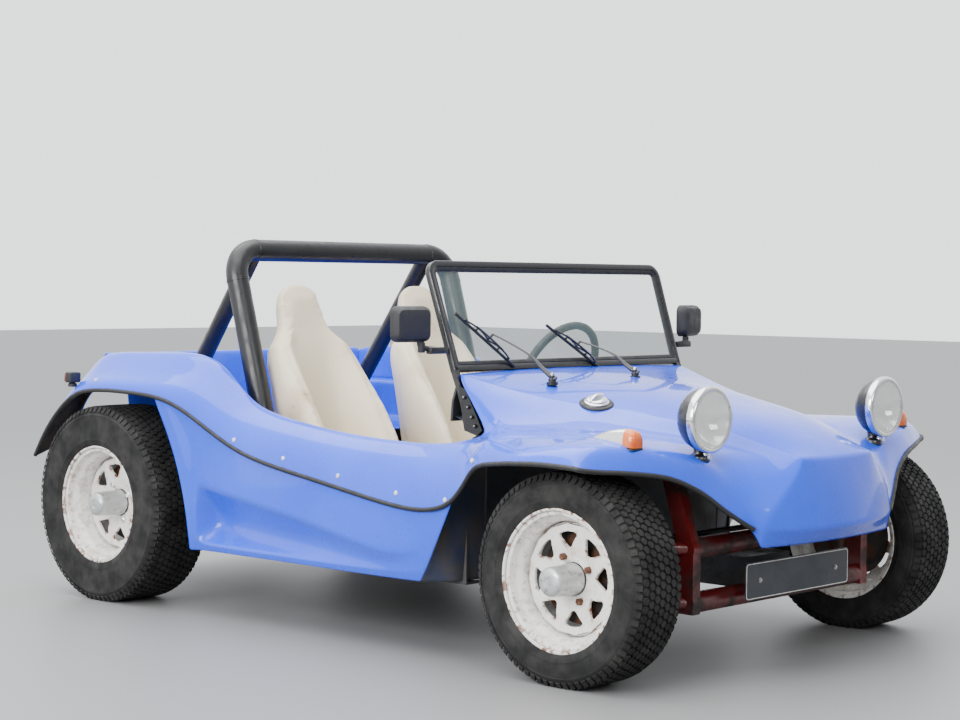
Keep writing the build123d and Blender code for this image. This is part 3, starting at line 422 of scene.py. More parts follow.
# %% Net of the front
# Columns: centre, crown, shoulder, flank, valley, three of the flat, inner roll, crease, skirt twice, edge.
FRONT_NET = [
    [(0, -384, 368), (180, -366, 366), (318, -338, 366), (345, -332, 418), (382, -316, 441), (430, -294, 474),
     (500, -264, 526), (600, -234, 567), (720, -192, 584), (790, -160, 589), (835, -145, 594), (849, -138, 597),
     (855.5, -132, 599)],
    [(0, -424, 408), (185, -402, 410), (322, -350, 417), (350, -322, 462), (386, -292, 520), (430, -266, 578),
     (500, -240, 610), (600, -212, 634), (715, -170, 650), (790, -138, 650), (833, -124, 632), (849, -118, 614),
     (855.5, -112, 601)],
    [(0, -416, 470), (178, -396, 472), (285, -362, 480), (330, -322, 505), (372, -278, 556), (420, -240, 600),
     (495, -210, 628), (598, -178, 648), (712, -135, 660), (793, -100, 655), (835, -92, 636), (849, -86, 616),
     (855.5, -80, 602)],
    [(0, -402, 540), (165, -388, 545), (200, -374, 560), (275, -325, 555), (350, -258, 590), (410, -205, 622),
     (490, -165, 645), (598, -130, 660), (712, -85, 666), (798, -50, 655), (838, -46, 636), (849, -42, 618),
     (855.5, -38, 603)],
    [(0, -385, 600), (140, -378, 603), (174, -371, 606), (225, -305, 600), (330, -220, 618), (400, -160, 640),
     (488, -110, 660), (598, -75, 668), (712, -35, 668), (800, 0, 652), (838, 2, 634), (849, 4, 617),
     (855.5, 6, 603)],
    [(0, -311, 657), (125, -303, 652), (207, -275, 632), (265, -230, 618), (345, -165, 634), (410, -100, 655),
     (492, -45, 664), (600, -15, 668), (712, 15, 666), (800, 45, 648), (837, 44, 630), (849, 42, 614),
     (855.5, 40, 602)],
    [(0, -200, 702), (145, -195, 696), (246, -174, 672), (308, -145, 648), (385, -95, 648), (440, -35, 662),
     (510, 20, 668), (605, 45, 668), (712, 65, 664), (800, 85, 645), (834, 82, 628), (848, 80, 612),
     (853, 78, 599)],
    [(0, -60, 733), (165, -58, 726), (296, -50, 694), (365, -20, 668), (440, 20, 662), (490, 60, 668),
     (545, 90, 668), (620, 105, 666), (712, 115, 662), (790, 128, 644), (824, 124, 628), (838, 120, 612),
     (846, 118, 597)],
    [(0, 67, 758), (190, 67, 750), (342, 67, 702), (415, 80, 684), (485, 100, 674), (530, 125, 670),
     (575, 145, 667), (635, 155, 664), (712, 165, 660), (776, 172, 645), (808, 168, 628), (822, 164, 612),
     (830, 160, 592)],
    [(0, 200, 778), (215, 200, 770), (394, 205, 726), (462, 215, 704), (522, 228, 688), (562, 235, 676),
     (598, 240, 668), (650, 240, 662), (708, 240, 658), (762, 240, 646), (790, 232, 628), (803, 224, 610),
     (812, 216, 586)],
    [(0, 340, 788), (240, 340, 783), (446, 340, 748), (506, 343, 730), (548, 342, 708), (580, 334, 690),
     (610, 320, 674), (652, 305, 662), (700, 300, 657), (745, 296, 645), (770, 290, 625), (782, 284, 604),
     (790, 278, 577)],
    [(0, 470, 803), (260, 468, 797), (492, 455, 774), (536, 446, 758), (562, 424, 728), (586, 396, 700),
     (614, 364, 676), (650, 340, 658), (692, 332, 650), (728, 334, 632), (750, 334, 606), (762, 330, 580),
     (768, 326, 552)],
    [(0, 598, 818), (272, 596, 816), (530, 589, 810), (552, 568, 788), (564, 524, 748), (580, 477, 705),
     (606, 425, 668), (640, 384, 641), (684, 376, 634), (715, 376, 612), (738, 376, 575), (748, 374, 535),
     (752, 370, 505)],
]
SHOULDER, RIM_COLUMN, CREASE_COLUMN = 2, 7, 9
FOLD_ROW, BROW_ROW = 1, 4
print("front net", len(FRONT_NET), "rows")

# %% Net of the side
# Columns: the cockpit rim's inner and outer edge, upper, middle and lower side, and the edge.
SIDE_NET = [
    [(640, 520, 618), (664, 512, 612), (716, 460, 575), (738, 445, 530), (748, 430, 480), (752, 420, 452)],
    [(638, 600, 611), (656, 600, 606), (712, 575, 560), (734, 560, 515), (746, 545, 465), (750, 500, 430)],
    [(636, 700, 610), (654, 700, 606), (700, 680, 568), (728, 660, 520), (742, 640, 470), (748, 610, 427)],
    [(634, 830, 613), (652, 830, 609), (694, 825, 580), (722, 815, 540), (738, 800, 495), (745, 790, 451)],
    [(632, 1000, 623), (650, 1000, 619), (690, 1000, 594), (718, 1000, 560), (734, 1000, 522), (742, 1000, 483)],
    [(630, 1160, 641), (648, 1160, 637), (688, 1165, 612), (716, 1170, 580), (733, 1175, 544), (740, 1180, 507)],
    [(626, 1290, 660), (645, 1292, 657), (688, 1300, 632), (716, 1310, 602), (733, 1320, 568), (740, 1330, 537)],
    [(620, 1380, 682), (640, 1385, 680), (690, 1400, 655), (718, 1415, 630), (734, 1430, 605), (741, 1440, 580)],
    [(612, 1450, 716), (635, 1458, 716), (692, 1480, 690), (722, 1500, 665), (738, 1520, 645), (744, 1535, 625)],
    [(604, 1520, 765), (628, 1532, 765), (696, 1560, 728), (728, 1580, 702), (744, 1600, 684), (749, 1615, 664)],
    [(600, 1600, 815), (626, 1612, 812), (698, 1640, 752), (732, 1665, 732), (750, 1690, 712), (754, 1705, 692)],
    [(600, 1690, 840), (626, 1695, 836), (700, 1720, 762), (734, 1745, 744), (754, 1770, 724), (757, 1785, 701)],
    [(600, 1850, 838), (626, 1850, 834), (702, 1860, 764), (736, 1870, 746), (757, 1880, 728), (760, 1885, 706)],
    [(600, 2030, 833), (627, 2030, 829), (703, 2030, 762), (737, 2030, 746), (758, 2030, 730), (761, 2030, 708)],
    [(600, 2160, 829), (627, 2160, 823), (702, 2160, 756), (736, 2155, 738), (756, 2150, 718), (760, 2145, 697)],
    [(600, 2225, 812), (626, 2226, 800), (700, 2230, 722), (734, 2226, 700), (754, 2218, 682), (759, 2210, 668)],
    [(600, 2300, 735), (625, 2300, 720), (698, 2292, 655), (734, 2286, 636), (753, 2282, 624), (758, 2280, 615)],
    [(602, 2366, 630), (625, 2366, 618), (698, 2358, 575), (734, 2354, 560), (752, 2351, 551), (757, 2350, 545)],
    [(606, 2412, 520), (627, 2412, 512), (696, 2409, 484), (732, 2407, 472), (750, 2406, 466), (756, 2406, 462)],
]
# Height and width that the inner face of the side falls to, row by row: the tub, then the well's ledge.
INNER_FALL = [(630, 560)] * 8 + [(614, 600), (602, 660)] + [(594, 704)] * 5 + [(594, 704), (594, 690), (596, 600),
                                                                               (600, 500)]
print("side net", len(SIDE_NET), "rows")

# %% Skin over the net
SHELL_LEVELS, SHELL_WALL = 3, 6
# How far the rim turns down inside: across and down.
RIM_TURN, RIM_DROP = 7, 9
shell_mesh = bmesh.new()
crease = shell_mesh.edges.layers.float.new("crease_edge")


def lay_shell(side):
    """Lays both nets on one side of the car, joined along the rim's column, and creases its lines."""
    front, rows = [[[shell_mesh.verts.new(spot(side * x, y, z)) for x, y, z in row] for row in net]
                   for net in (FRONT_NET, SIDE_NET)]
    side_rows = [front[-1][RIM_COLUMN:]] + rows
    inner = [[shell_mesh.verts.new(spot(side * x, behind, z)),
              shell_mesh.verts.new(spot(side * (rim - RIM_TURN), behind, up - RIM_DROP)), row[0]]
             for row, ((rim, behind, up), *_), (x, z) in zip(rows, SIDE_NET, INNER_FALL)]
    for grid in (front, side_rows, inner):
        for near, far in zip(grid, grid[1:]):
            for a, b, c, d in zip(near, near[1:], far[1:], far):
                shell_mesh.faces.new((a, d, c, b))
    shoulder = [row[SHOULDER] for row in front]
    for line, amount in ((shoulder[FOLD_ROW:BROW_ROW + 1], 0.9), (shoulder[BROW_ROW:], 0.6),
                         (shoulder[:FOLD_ROW + 1], 0.8), ([row[CREASE_COLUMN] for row in front[2:]], 0.3),
                         (front[FOLD_ROW][:5], 0.9), (front[BROW_ROW][:SHOULDER + 1], 0.75),
                         ([row[1] for row in side_rows[1:]], 0.35)):
        sharpen(shell_mesh, crease, line, amount)


for side, _ in SIDES:
    lay_shell(side)
shell = piece("body_shell", shell_mesh, [body_paint, inside_paint], sharp=180,
              replaces=("bonnet", "front_fender_left", "front_fender_right", "side_panel_left",
                        "side_panel_right", "rear_body"))
subdivided(shell, SHELL_LEVELS)
walled(shell, SHELL_WALL, inner=1)

# %% [markdown]
# ## Edge trim
# A black rubber bead is pressed over the shell's raw edge, from the chin round each wheel arch and along the
# seam above the side pod. It is a tube along the same edge points, smoothed as the skin's edge is.

# %% Edge bead
BEAD = 7.0


def edge_line(side, steps=5):
    """The shell's edge, as the subdivided net draws it: a cubic spline near its edge points."""
    corners = [row[-1] for row in FRONT_NET] + [row[-1] for row in SIDE_NET]
    corners = [spot(side * x, y, z) for x, y, z in corners]
    line = [corners[0]]
    padded = [2 * corners[0] - corners[1]] + corners + [2 * corners[-1] - corners[-2]]
    for a, b, c, d in zip(padded, padded[1:], padded[2:], padded[3:]):
        for step in range(1, steps + 1):
            t = step / steps
            line.append(((1 - t) ** 3 * a + (3 * t ** 3 - 6 * t * t + 4) * b
                         + (-3 * t ** 3 + 3 * t * t + 3 * t + 1) * c + t ** 3 * d) / 6)
    return line


bead_mesh = bmesh.new()
for side, _ in SIDES:
    chin = [spot(side * x, y, z) for x, y, z in FRONT_NET[0][3:-1]]
    add_tube(bead_mesh, flowing(chin, 3) + edge_line(side), BEAD, sides=8)
piece("edge_trim", bead_mesh, [rubber], sharp=80)

# %% [markdown]
# ## The well behind the seats
# Behind the seats the moulding drops to a ledge and then to a flat floor over the engine, closed by an
# upright wall. It is a separate skin inside the shell, folded from a few rows of points and lightly rounded.

# %% Rear well
WELL_FLOOR, WELL_FOOT, WELL_WALL = 560, 580, 4
WELL_SECTION = [(596, 706), (560, 705), (526, 702), (520, 690), (520, 620), (516, 572), (500, 562),
                (300, WELL_FLOOR), (0, WELL_FLOOR)]
WELL_ROWS = [1560, 1640, 1900, 2150]
WELL_BACK = 2190
# The closing wall and its lip: behind, height, and the share of the section's rise that is left in it.
WELL_END = [(2194, 700, 0.05), (2200, 818, 0), (2216, 824, 0), (2250, 790, 0)]
well_mesh = bmesh.new()
section = [(-x, z) for x, z in WELL_SECTION[:-1]] + WELL_SECTION[::-1]
rings = [[spot(x, behind, z) for x, z in section] for behind in WELL_ROWS]
rings.append([spot(x, WELL_BACK, max(z, WELL_FOOT)) for x, z in section])
rings += [[spot(x, behind, up + (z - WELL_FLOOR) * share) for x, z in section] for behind, up, share in WELL_END]
add_rings(well_mesh, rings, closed=False)
rear_well = piece("rear_well", well_mesh, [body_paint], sharp=180)
subdivided(rear_well, 2)
walled(rear_well, WELL_WALL, offset=0)

# %% [markdown]
# ## Side pods
# Under the trim line each side carries a long moulded pod. Its lower half is scooped out towards the rear
# wheel, and its front end turns in behind the front wheel to close the arch; that arch wall is painted a dark
# navy, painted shade for the shadow inside the arch. Same way: a net, subdivided.

# %% Pod net
# Each row from the inner end of the arch wall back to the rear wheel: places from the trim line to the floor.
POD_NET = [
    [(560, 452, 650), (560, 452, 560), (560, 453, 470), (560, 455, 380), (560, 457, 300), (560, 460, 224)],
    [(650, 444, 636), (650, 444, 560), (650, 448, 470), (650, 452, 380), (650, 457, 300), (648, 463, 222)],
    [(716, 418, 560), (706, 430, 480), (700, 458, 385), (698, 478, 315), (694, 494, 262), (688, 508, 220)],
    [(746, 410, 466), (742, 444, 405), (739, 486, 330), (735, 512, 284), (729, 538, 248), (722, 562, 219)],
    [(746, 500, 436), (743, 515, 396), (742, 545, 312), (735, 566, 276), (732, 585, 244), (723, 604, 218)],
    [(744, 610, 433), (744, 632, 390), (744, 662, 288), (730, 668, 258), (730, 672, 238), (723, 676, 217)],
    [(741, 790, 457), (743, 800, 400), (745, 817, 314), (714, 822, 266), (730, 826, 236), (723, 830, 216)],
    [(738, 1000, 489), (742, 1002, 430), (746, 1005, 350), (688, 1010, 276), (729, 1014, 235), (723, 1016, 216)],
    [(736, 1180, 513), (741, 1190, 450), (746, 1206, 379), (668, 1210, 284), (729, 1214, 235), (723, 1216, 215)],
    [(736, 1330, 543), (741, 1340, 470), (746, 1355, 400), (650, 1360, 292), (729, 1364, 235), (723, 1366, 214)],
    [(737, 1440, 586), (740, 1450, 505), (746, 1460, 414), (636, 1470, 298), (729, 1480, 236), (723, 1484, 214)],
    [(739, 1500, 612), (738, 1508, 530), (744, 1512, 420), (628, 1510, 306), (730, 1524, 238), (724, 1526, 213)],
    [(740, 1545, 636), (736, 1540, 550), (741, 1546, 428), (742, 1552, 330), (736, 1550, 246), (728, 1550, 213)],
    [(744, 1650, 676), (736, 1588, 585), (738, 1562, 480), (741, 1564, 360), (738, 1562, 256), (730, 1562, 212)],
    [(750, 1722, 698), (750, 1645, 600), (750, 1598, 480), (749, 1578, 360), (745, 1572, 256), (737, 1574, 211)],
    [(747, 1775, 712), (747, 1700, 604), (746, 1636, 476), (744, 1600, 354), (740, 1588, 258), (732, 1590, 211)],
]
EDGE_ROW, UPPER_LINE, LOWER_LINE = 3, 2, 4
POD_LEVELS, POD_WALL, FOOT_TURN = 3, 4, 60
# A face in the middle of the pod's side, which tells which way the skin looks.
SIDE_FACE = 60
# The arch wall's dark navy is painted shade: the body's blue darkened for the shadow inside the wheel arch. Noise adds
# patches of dust.
arch_shade_and_dust_paint = worn("arch_navy_shade_and_dust", (0.014, 0.024, 0.062), 0.42,
                  tones=((8.0, 7.0, 0.4, 0.7), (0.013, 0.023, 0.06), (0.045, 0.04, 0.036)))
for side, name in SIDES:
    pod_mesh = bmesh.new()
    crease = pod_mesh.edges.layers.float.new("crease_edge")
    grid = [[pod_mesh.verts.new(spot(side * x, y, z))
             for x, y, z in row + [(row[-1][0] - FOOT_TURN, *row[-1][1:])]] for row in POD_NET]
    for number, (near, far) in enumerate(zip(grid, grid[1:])):
        for a, b, c, d in zip(near, near[1:], far[1:], far):
            pod_mesh.faces.new((a, b, c, d)).material_index = 2 if number < EDGE_ROW else 0
    for line, amount in ((grid[EDGE_ROW], 0.9), ([row[UPPER_LINE] for row in grid[EDGE_ROW + 1:-3]], 0.85),
                         ([row[LOWER_LINE] for row in grid[EDGE_ROW:]], 0.5), ([row[-2] for row in grid], 0.8),
                         (grid[-4][UPPER_LINE:LOWER_LINE + 1], 0.6)):
        sharpen(pod_mesh, crease, line, amount)
    pod = piece(f"side_pod_skin_{name}", pod_mesh, [body_paint, inside_paint, arch_shade_and_dust_paint], sharp=180,
                replaces=(f"side_pod_{name}",), outward=False)
    if (pod.data.polygons[SIDE_FACE].normal.x > 0) != (side > 0):
        pod.data.flip_normals()
    subdivided(pod, POD_LEVELS)
    walled(pod, POD_WALL, inner=1)

# %% [markdown]
# ## Finishes of the wheels
# The steel wheels were painted white and have lived outdoors: rust creeps from the rolled lip, the welds and
# the holes. The mesh carries a mark along those edges, and noise breaks the mark into blisters and runs.
# Tyre rubber is a dark grey that looks dusty, with the dust in soft noise patches.

# %% Wheel paints
WHEEL_WHITE, RUST, DARK_RUST = (0.8, 0.79, 0.76), (0.2, 0.068, 0.028), (0.09, 0.03, 0.014)
wheel_paint = finish("wheel_white", WHEEL_WHITE, 0.4, Coat_Weight=0.25, Coat_Roughness=0.2)
wear = marked(wheel_paint, "wear")
patches = cloud(wheel_paint, 55.0, 7.0, 0.5, 0.62)
spots = cloud(wheel_paint, 130.0, 6.0, 0.66, 0.7)
rusty = product(wheel_paint, wear, patches)
stain = blend(wheel_paint, cloud(wheel_paint, 18.0, 5.0, 0.45, 0.8), WHEEL_WHITE, (0.62, 0.56, 0.47))
edge_rust = blend(wheel_paint, rusty, stain, RUST)
flecked = blend(wheel_paint, product(wheel_paint, spots, between(wheel_paint, wear, 0.35, 1.0)), edge_rust, DARK_RUST)
drive(wheel_paint, "Base Color", flecked)
drive(wheel_paint, "Roughness", between(wheel_paint, rusty, 0.36, 0.85))
relief(wheel_paint, rusty, 0.4)

rust_paint = worn("rusty_nut", (0.12, 0.05, 0.028), 0.8, 0.2, grain=((260.0,), 0.5),
                  tones=((160.0,), (0.07, 0.032, 0.02), (0.2, 0.085, 0.045)))
chrome = worn("worn_chrome", (0.78, 0.79, 0.8), 0.14, 1.0, gloss=((60.0, 6.0, 0.35, 0.75), 0.06, 0.3),
              tones=((90.0, 6.0, 0.6, 0.72), (0.82, 0.83, 0.84), (0.4, 0.37, 0.33)))
dull_chrome = worn("weathered_cap", (0.5, 0.52, 0.52), 0.42, 0.85, gloss=((45.0, 6.0), 0.34, 0.58),
                   tones=((70.0, 6.0, 0.55, 0.8), (0.56, 0.58, 0.58), (0.2, 0.19, 0.17)))
tread_rubber = worn("tyre_rubber", (0.022, 0.022, 0.022), 0.78, gloss=((30.0,), 0.62, 0.88),
                    tones=((16.0, 6.0, 0.35, 0.7), (0.009, 0.009, 0.009), (0.026, 0.025, 0.024)),
                    grain=((420.0, 3.0), 0.35), Specular_IOR_Level=0.3)
print("wheel finishes made")

# %% [markdown]
# ## Tyres
# A road tyre is a band of rubber blocks between zigzag grooves, over a round shoulder and a plain sidewall
# with a few fine ribs. The carcass is turned from a profile; each block is a six-sided pad laid on it, in
# columns that step half a block from one another. The sidewall carries no lettering.

# %% Sizes of the tyres
TREAD_DEPTH, BULGE, BEAD_SEAT, TREAD_MARGIN = 6.0, 9.0, 194.5, 34.0
CROWN_FALL, SHOULDER_START, SHOULDER_FALL = 2.0, 0.8, 42
# One block as (across, round) in shares of its pitch, its root's depth in treads, and how far its sides draw in.
BLOCK = [(-0.52, 0.14), (-0.18, 0.47), (0.3, 0.47), (0.52, 0.12), (0.18, -0.38), (-0.3, -0.38)]
BLOCK_ROOT, BLOCK_DRAFT = 1.25, (0.08, 0.1)
# A shoulder lug: distance in from the tyre's face and drop from its crown, at both ends; then its height and width.
LUG_ENDS, LUG_SINK, LUG_HEIGHT, LUG_HALF = ((15, 3.0), (4.5, 19)), 3.5, 2.6, 0.33
# axle line, and how far across the wheel's outer lip stands
AXLES = {"front": (FRONT_AXLE_Y, 775.0), "rear": (REAR_AXLE_Y, 769.0)}
# radius, width, columns of blocks, blocks round
TYRES = {"front": (292.0, 192.0, 7, 76), "rear": (330.0, 232.0, 8, 84)}
print("tyre radii", [radius for radius, *_ in TYRES.values()])


# %% Places on a wheel
def wheel_lip(end, part, side, name):
    """The place on the axle level with a wheel's outer lip."""
    axle, across = AXLES[end]
    return Vector((side * across * MM, axle, middle(f"{end}_{part}_{name}").z))


def round_wheel(hub, side, along, radius, turn):
    """A place on a wheel from its distance along the axle, its radius and its angle."""
    return hub + Vector((side * along, sin(turn) * radius, cos(turn) * radius)) * MM


# %% Carcass
def tyre_profile(radius, width):
    """Outline of the carcass from the outer bead round to the inner bead, as (along, radius)."""
    crown = radius - TREAD_DEPTH
    half = [(-14, BEAD_SEAT - 8), (-9, BEAD_SEAT), (-7, BEAD_SEAT + 4), (-3, BEAD_SEAT + 12), (-1, BEAD_SEAT + 20),
            (-0.2, BEAD_SEAT + 20.5), (0, BEAD_SEAT + 24), (-0.6, BEAD_SEAT + 27), (-0.2, BEAD_SEAT + 30),
            (0, (BEAD_SEAT + radius) / 2), (-3, radius - 34), (-2.2, radius - 32), (-4, radius - 28),
            (-9, radius - 18), (-17, crown - 5), (-26, crown - 0.5)]
    return [(BULGE + a, r) for a, r in half] + [(BULGE - width - a, r) for a, r in reversed(half)]


def tread_height(along, radius, width):
    """Height of the tread's face across its width: flat with falling shoulders."""
    off = abs(along - (BULGE - width / 2)) / (width / 2)
    return radius - CROWN_FALL * off ** 2 - max(0.0, off - SHOULDER_START) * SHOULDER_FALL


# %% Tread blocks
def add_blocks(mesh, hub, side, radius, width, columns, count):
    """The tread: columns of six-sided blocks, each column half a block round from the last."""
    pitch, step = (width - TREAD_MARGIN) / columns, tau / count
    for column in range(columns):
        middle_along = BULGE - width / 2 + (column - (columns - 1) / 2) * pitch
        for k in range(count):
            low, high = [], []
            for row, lift in ((low, 0.0), (high, 1.0)):
                for across, around in BLOCK:
                    along = middle_along + across * (1 - BLOCK_DRAFT[0] * lift) * pitch
                    height = tread_height(along, radius, width) - TREAD_DEPTH * BLOCK_ROOT * (1 - lift)
                    turn = (k + 0.5 * (column % 2) + around * (1 - BLOCK_DRAFT[1] * lift)) * step
                    row.append(mesh.verts.new(round_wheel(hub, side, along, height, turn)))
            mesh.faces.new(high)
            join(mesh, low, high)


# %% Shoulder lugs
def add_lugs(mesh, hub, side, radius, width, count):
    """Thin lugs that carry the blocks' pattern over both shoulders."""
    step = tau / count
    for shoulder in (-1, 1):
        for k in range(count):
            v = []
            for inset, drop in LUG_ENDS:
                along = BULGE - width / 2 + shoulder * (width / 2 - inset)
                for lift in (0.0, LUG_HEIGHT):
                    for turn in (-LUG_HALF, LUG_HALF):
                        v.append(mesh.verts.new(round_wheel(
                            hub, side, along + shoulder * lift * 0.5, radius - drop - LUG_SINK + lift,
                            (k + 0.5 * (shoulder > 0) + turn) * step)))
            for quad in ((2, 3, 7, 6), (0, 2, 6, 4), (3, 1, 5, 7), (4, 6, 7, 5), (0, 1, 3, 2)):
                mesh.faces.new([v[i] for i in quad])


# %% Four tyres
for end, (radius, width, columns, count) in TYRES.items():
    for side, name in SIDES:
        hub = wheel_lip(end, "tyre", side, name)
        tyre_mesh = bmesh.new()
        add_turned(tyre_mesh, hub, ACROSS * side, tyre_profile(radius, width), steps=96)
        add_blocks(tyre_mesh, hub, side, radius, width, columns, count)
        add_lugs(tyre_mesh, hub, side, radius, width, count)
        piece(f"{end}_tyre_tread_{name}", tyre_mesh, [tread_rubber], f"{end}_wheel_{name}",
              (f"{end}_tyre_{name}",), sharp=30)

# %% [markdown]
# ## Steel wheels
# A pressed disc with eight rounded holes is welded into a rolled rim. The rim is turned from a profile with
# its lip, bead seat and well. The disc is built as eight sectors, each a ring of faces between the sector's
# border and its hole, so the hole is real and its edge can be turned back as the press does.

# %% Disc and its holes
HOLES, HOLE_TURN, HOLE_LIP, HOLE_HEART = 8, 0.1, 0.279, 108
# The hole's edge is turned back: how much smaller it gets along the radius and round it, and how far back it goes.
HOLE_DRAFT, HOLE_BACK = (0.95, 0.93), (-2.5, -9)
DISC_EDGE, DISC_INNER = 150.0, 60.0
# Half of a hole's outline and of its sector's, as (radius, angle share of the sector), from foot to outer edge.
HOLE_HALF = [(84, 0.0), (86, 0.09), (93, 0.17), (108, 0.27), (119, 0.34), (126, 0.33), (129, 0.24), (130, 0.0)]
SECTOR_HALF = [(DISC_INNER, 0.0), (DISC_INNER, 0.5), (80, 0.5), (102, 0.5), (122, 0.5), (138, 0.5),
               (DISC_EDGE, 0.5), (DISC_EDGE, 0.0)]


def disc_bulge(radius, dome):
    """How far the disc's face stands out at a radius: domed or dished round the hub, falling to the weld."""
    share = (radius - DISC_INNER) / (DISC_EDGE - DISC_INNER)
    return dome * (1 - share) ** 1.4 + 5 * sin(pi * min(max(share, 0), 1))


def add_disc(mesh, wear_layer, face, side, dome):
    """The pressed disc with its holes; face is the middle of its outer edge."""
    def at(radius, turn, out=0.0):
        """A place on the disc, or this far in front of it."""
        return round_wheel(face, side, disc_bulge(radius, dome) + out, radius, turn)

    sector = tau / HOLES
    hole, border = [half + [(radius, -share) for radius, share in reversed(half[1:-1])]
                    for half in (HOLE_HALF, SECTOR_HALF)]
    for k in range(HOLES):
        start = k * sector + HOLE_TURN
        rings = [[at(radius, start + share * sector) for radius, share in border],
                 [at(radius + (outer - radius) * HOLE_LIP, start + (share + (far - share) * HOLE_LIP) * sector)
                  for (radius, share), (outer, far) in zip(hole, border)],
                 [at(radius, start + share * sector) for radius, share in hole]]
        rings += [[at(HOLE_HEART + (radius - HOLE_HEART) * HOLE_DRAFT[0], start + share * HOLE_DRAFT[1] * sector, out)
                   for radius, share in hole] for out in HOLE_BACK]
        rings = [[mesh.verts.new(place) for place in ring] for ring in rings]
        for near, far in zip(rings, rings[1:]):
            join(mesh, near, far)
        for ring, amount in zip(rings, (0.0, 0.1, 0.75, 1.0, 1.0)):
            for vert in ring:
                vert[wear_layer] = amount


# %% Profiles of the rim and the cap
def rim_profile(depth):
    """Outline of the rolled rim from its lip to the inner lip: (along, radius, wear)."""
    return [(-6, 196, 0.9), (-1, 197, 1.0), (1, 194.5, 1.0), (1, 190, 0.9), (-3, 187.5, 0.65), (-7, 187, 0.75),
            (-8, 182, 0.5), (-9, 177, 0.35), (-15, 174.5, 0.6), (-26, 173, 0.25), (-34, 169, 0.2), (-40, 161, 0.35),
            (-50, 158, 0.3), (-depth + 40, 157, 0.2), (-depth + 30, 172, 0.2), (-depth + 8, 175, 0.3),
            (-depth, 186, 0.5), (-depth - 3, 193, 0.8), (-depth + 1, 194.5, 0.9), (-depth + 4, 186, 0.5),
            (-depth + 12, 178, 0.2), (-depth + 34, 176, 0.2), (-depth + 44, 161, 0.2), (-52, 162, 0.2),
            (-36, 175, 0.2), (-12, 180, 0.2), (-9, 190, 0.5)]


def cap_profile(dome, radius, height):
    """Outline of the hub's cap from its foot on the disc to the middle of its face."""
    return [(dome - 10, 0), (dome - 10, radius - 6), (dome, radius - 4), (dome + 2, radius - 0.5), (dome + 5, radius),
            (dome + 8, radius - 1.5), (height - 4, radius - 3.5), (height + 4, radius - 5), (height + 9, radius - 9),
            (height + 12, radius - 17), (height + 12, 14), (height + 10.5, 13), (height + 10.5, 0)]


def add_marked_turned(mesh, layer, centre, axis, profile, steps=72):
    """Turned rings, closed on themselves, whose vertices carry the profile's wear."""
    before, profile = set(mesh.verts), profile + [profile[0]]
    add_turned(mesh, centre, axis, [(a, r) for a, r, _ in profile], steps)
    for index, vert in enumerate(vert for vert in mesh.verts if vert not in before):
        vert[layer] = profile[index // steps][2]


# %% Four wheels
WELD = [(0, 150, 0.9), (-1.5, 151.5, 1.0), (-5, 152, 1.0), (-22, 158, 0.5), (-23, 150, 0.2), (-7, 148, 0.2)]
NUT = [(-6, 15), (1, 15), (2, 12), (2, 10.5), (15, 10.5), (17.5, 8), (18, 0)]
NUTS, NUT_CIRCLE, NUT_TURN = 4, 65.0, -0.31
# width, inset of the disc, its dome, cap's radius, cap's height, nuts' finish
WHEELS = {"front": (174.0, 60.0, -8.0, 44.0, 82.0, 1), "rear": (214.0, 84.0, -12.0, 43.0, 84.0, 2)}
for end, (depth, inset, dome, cap, cap_height, nut_paint) in WHEELS.items():
    for side, name in SIDES:
        hub = wheel_lip(end, "rim", side, name)
        out = ACROSS * side
        face = hub - out * inset * MM
        rim_mesh = bmesh.new()
        wear_layer = rim_mesh.verts.layers.float.new("wear")
        add_marked_turned(rim_mesh, wear_layer, hub, out, rim_profile(depth))
        add_disc(rim_mesh, wear_layer, face, side, dome)
        add_marked_turned(rim_mesh, wear_layer, face, out, WELD)
        add_marked_turned(rim_mesh, wear_layer, face, out,
                          [(dome, 60, 0.1), (dome + 1.5, 54, 0.2), (dome + 1, cap + 5, 0.5), (dome - 2, cap + 1, 0.9),
                           (dome - 12, cap, 0.6), (dome - 12, 57, 0.2), (dome - 7, 60, 0.1)])
        add_turned(rim_mesh, face, out, cap_profile(dome, cap, cap_height), 48, paint=3)
        for k in range(NUTS):
            nut = round_wheel(face, side, dome - 2, NUT_CIRCLE, tau * (k + 0.5) / NUTS + NUT_TURN)
            add_turned(rim_mesh, nut, out, NUT, 6, paint=nut_paint)
        piece(f"{end}_rim_skin_{name}", rim_mesh, [wheel_paint, rust_paint, chrome, dull_chrome],
              f"{end}_wheel_{name}", (f"{end}_rim_{name}",), sharp=40)

# %% [markdown]
# ## Roll bar
# The hoop and its two stays are steel tube in a black padded sleeve, taped where the straight runs meet the
# bends. Each run is a tube along a path with round corners. Thin collars stand for the tape.

# %% Black finishes
black_sleeve = worn("black_sleeve", (0.012, 0.012, 0.013), 0.34, gloss=((22.0, 5.0, 0.3, 0.7), 0.27, 0.46),
                    grain=((45.0, 5.0, 0.3, 0.7, (1, 1, 0.35)), 0.6, 0.5), Specular_IOR_Level=0.5)
black_enamel = worn("black_enamel", (0.01, 0.01, 0.011), 0.3, gloss=((50.0,), 0.24, 0.42), grain=((260.0,), 0.15),
                    Coat_Weight=0.3, Coat_Roughness=0.12)
black_plastic = worn("black_plastic", (0.014, 0.014, 0.015), 0.5, gloss=((30.0,), 0.42, 0.6),
                     grain=((900.0, 2.0), 0.25))
print("black finishes made")

# %% Sizes of the hoop
HOOP_RADIUS, HOOP_BEND, STAY_RADIUS, STAY_BEND = 36.5, 96.0, 28.5, 60
HOOP_HALF, HOOP_BEHIND, HOOP_TOP, HOOP_FOOT, STAY_ACROSS = 506.0, 1654, 1177, 232, 410
HOOP_LEAN = tan(radians(16.5))
STAY_KNEE, STAY_FOOT = (2040, 640), (2052, 562)
# The tape's collars: how far below the hoop's top and in from its leg they lie, and their profile.
COLLAR_DOWN, COLLAR_IN = 99, 98
COLLAR = [(-6, 36), (-5, 37.6), (5, 37.6), (6, 36)]


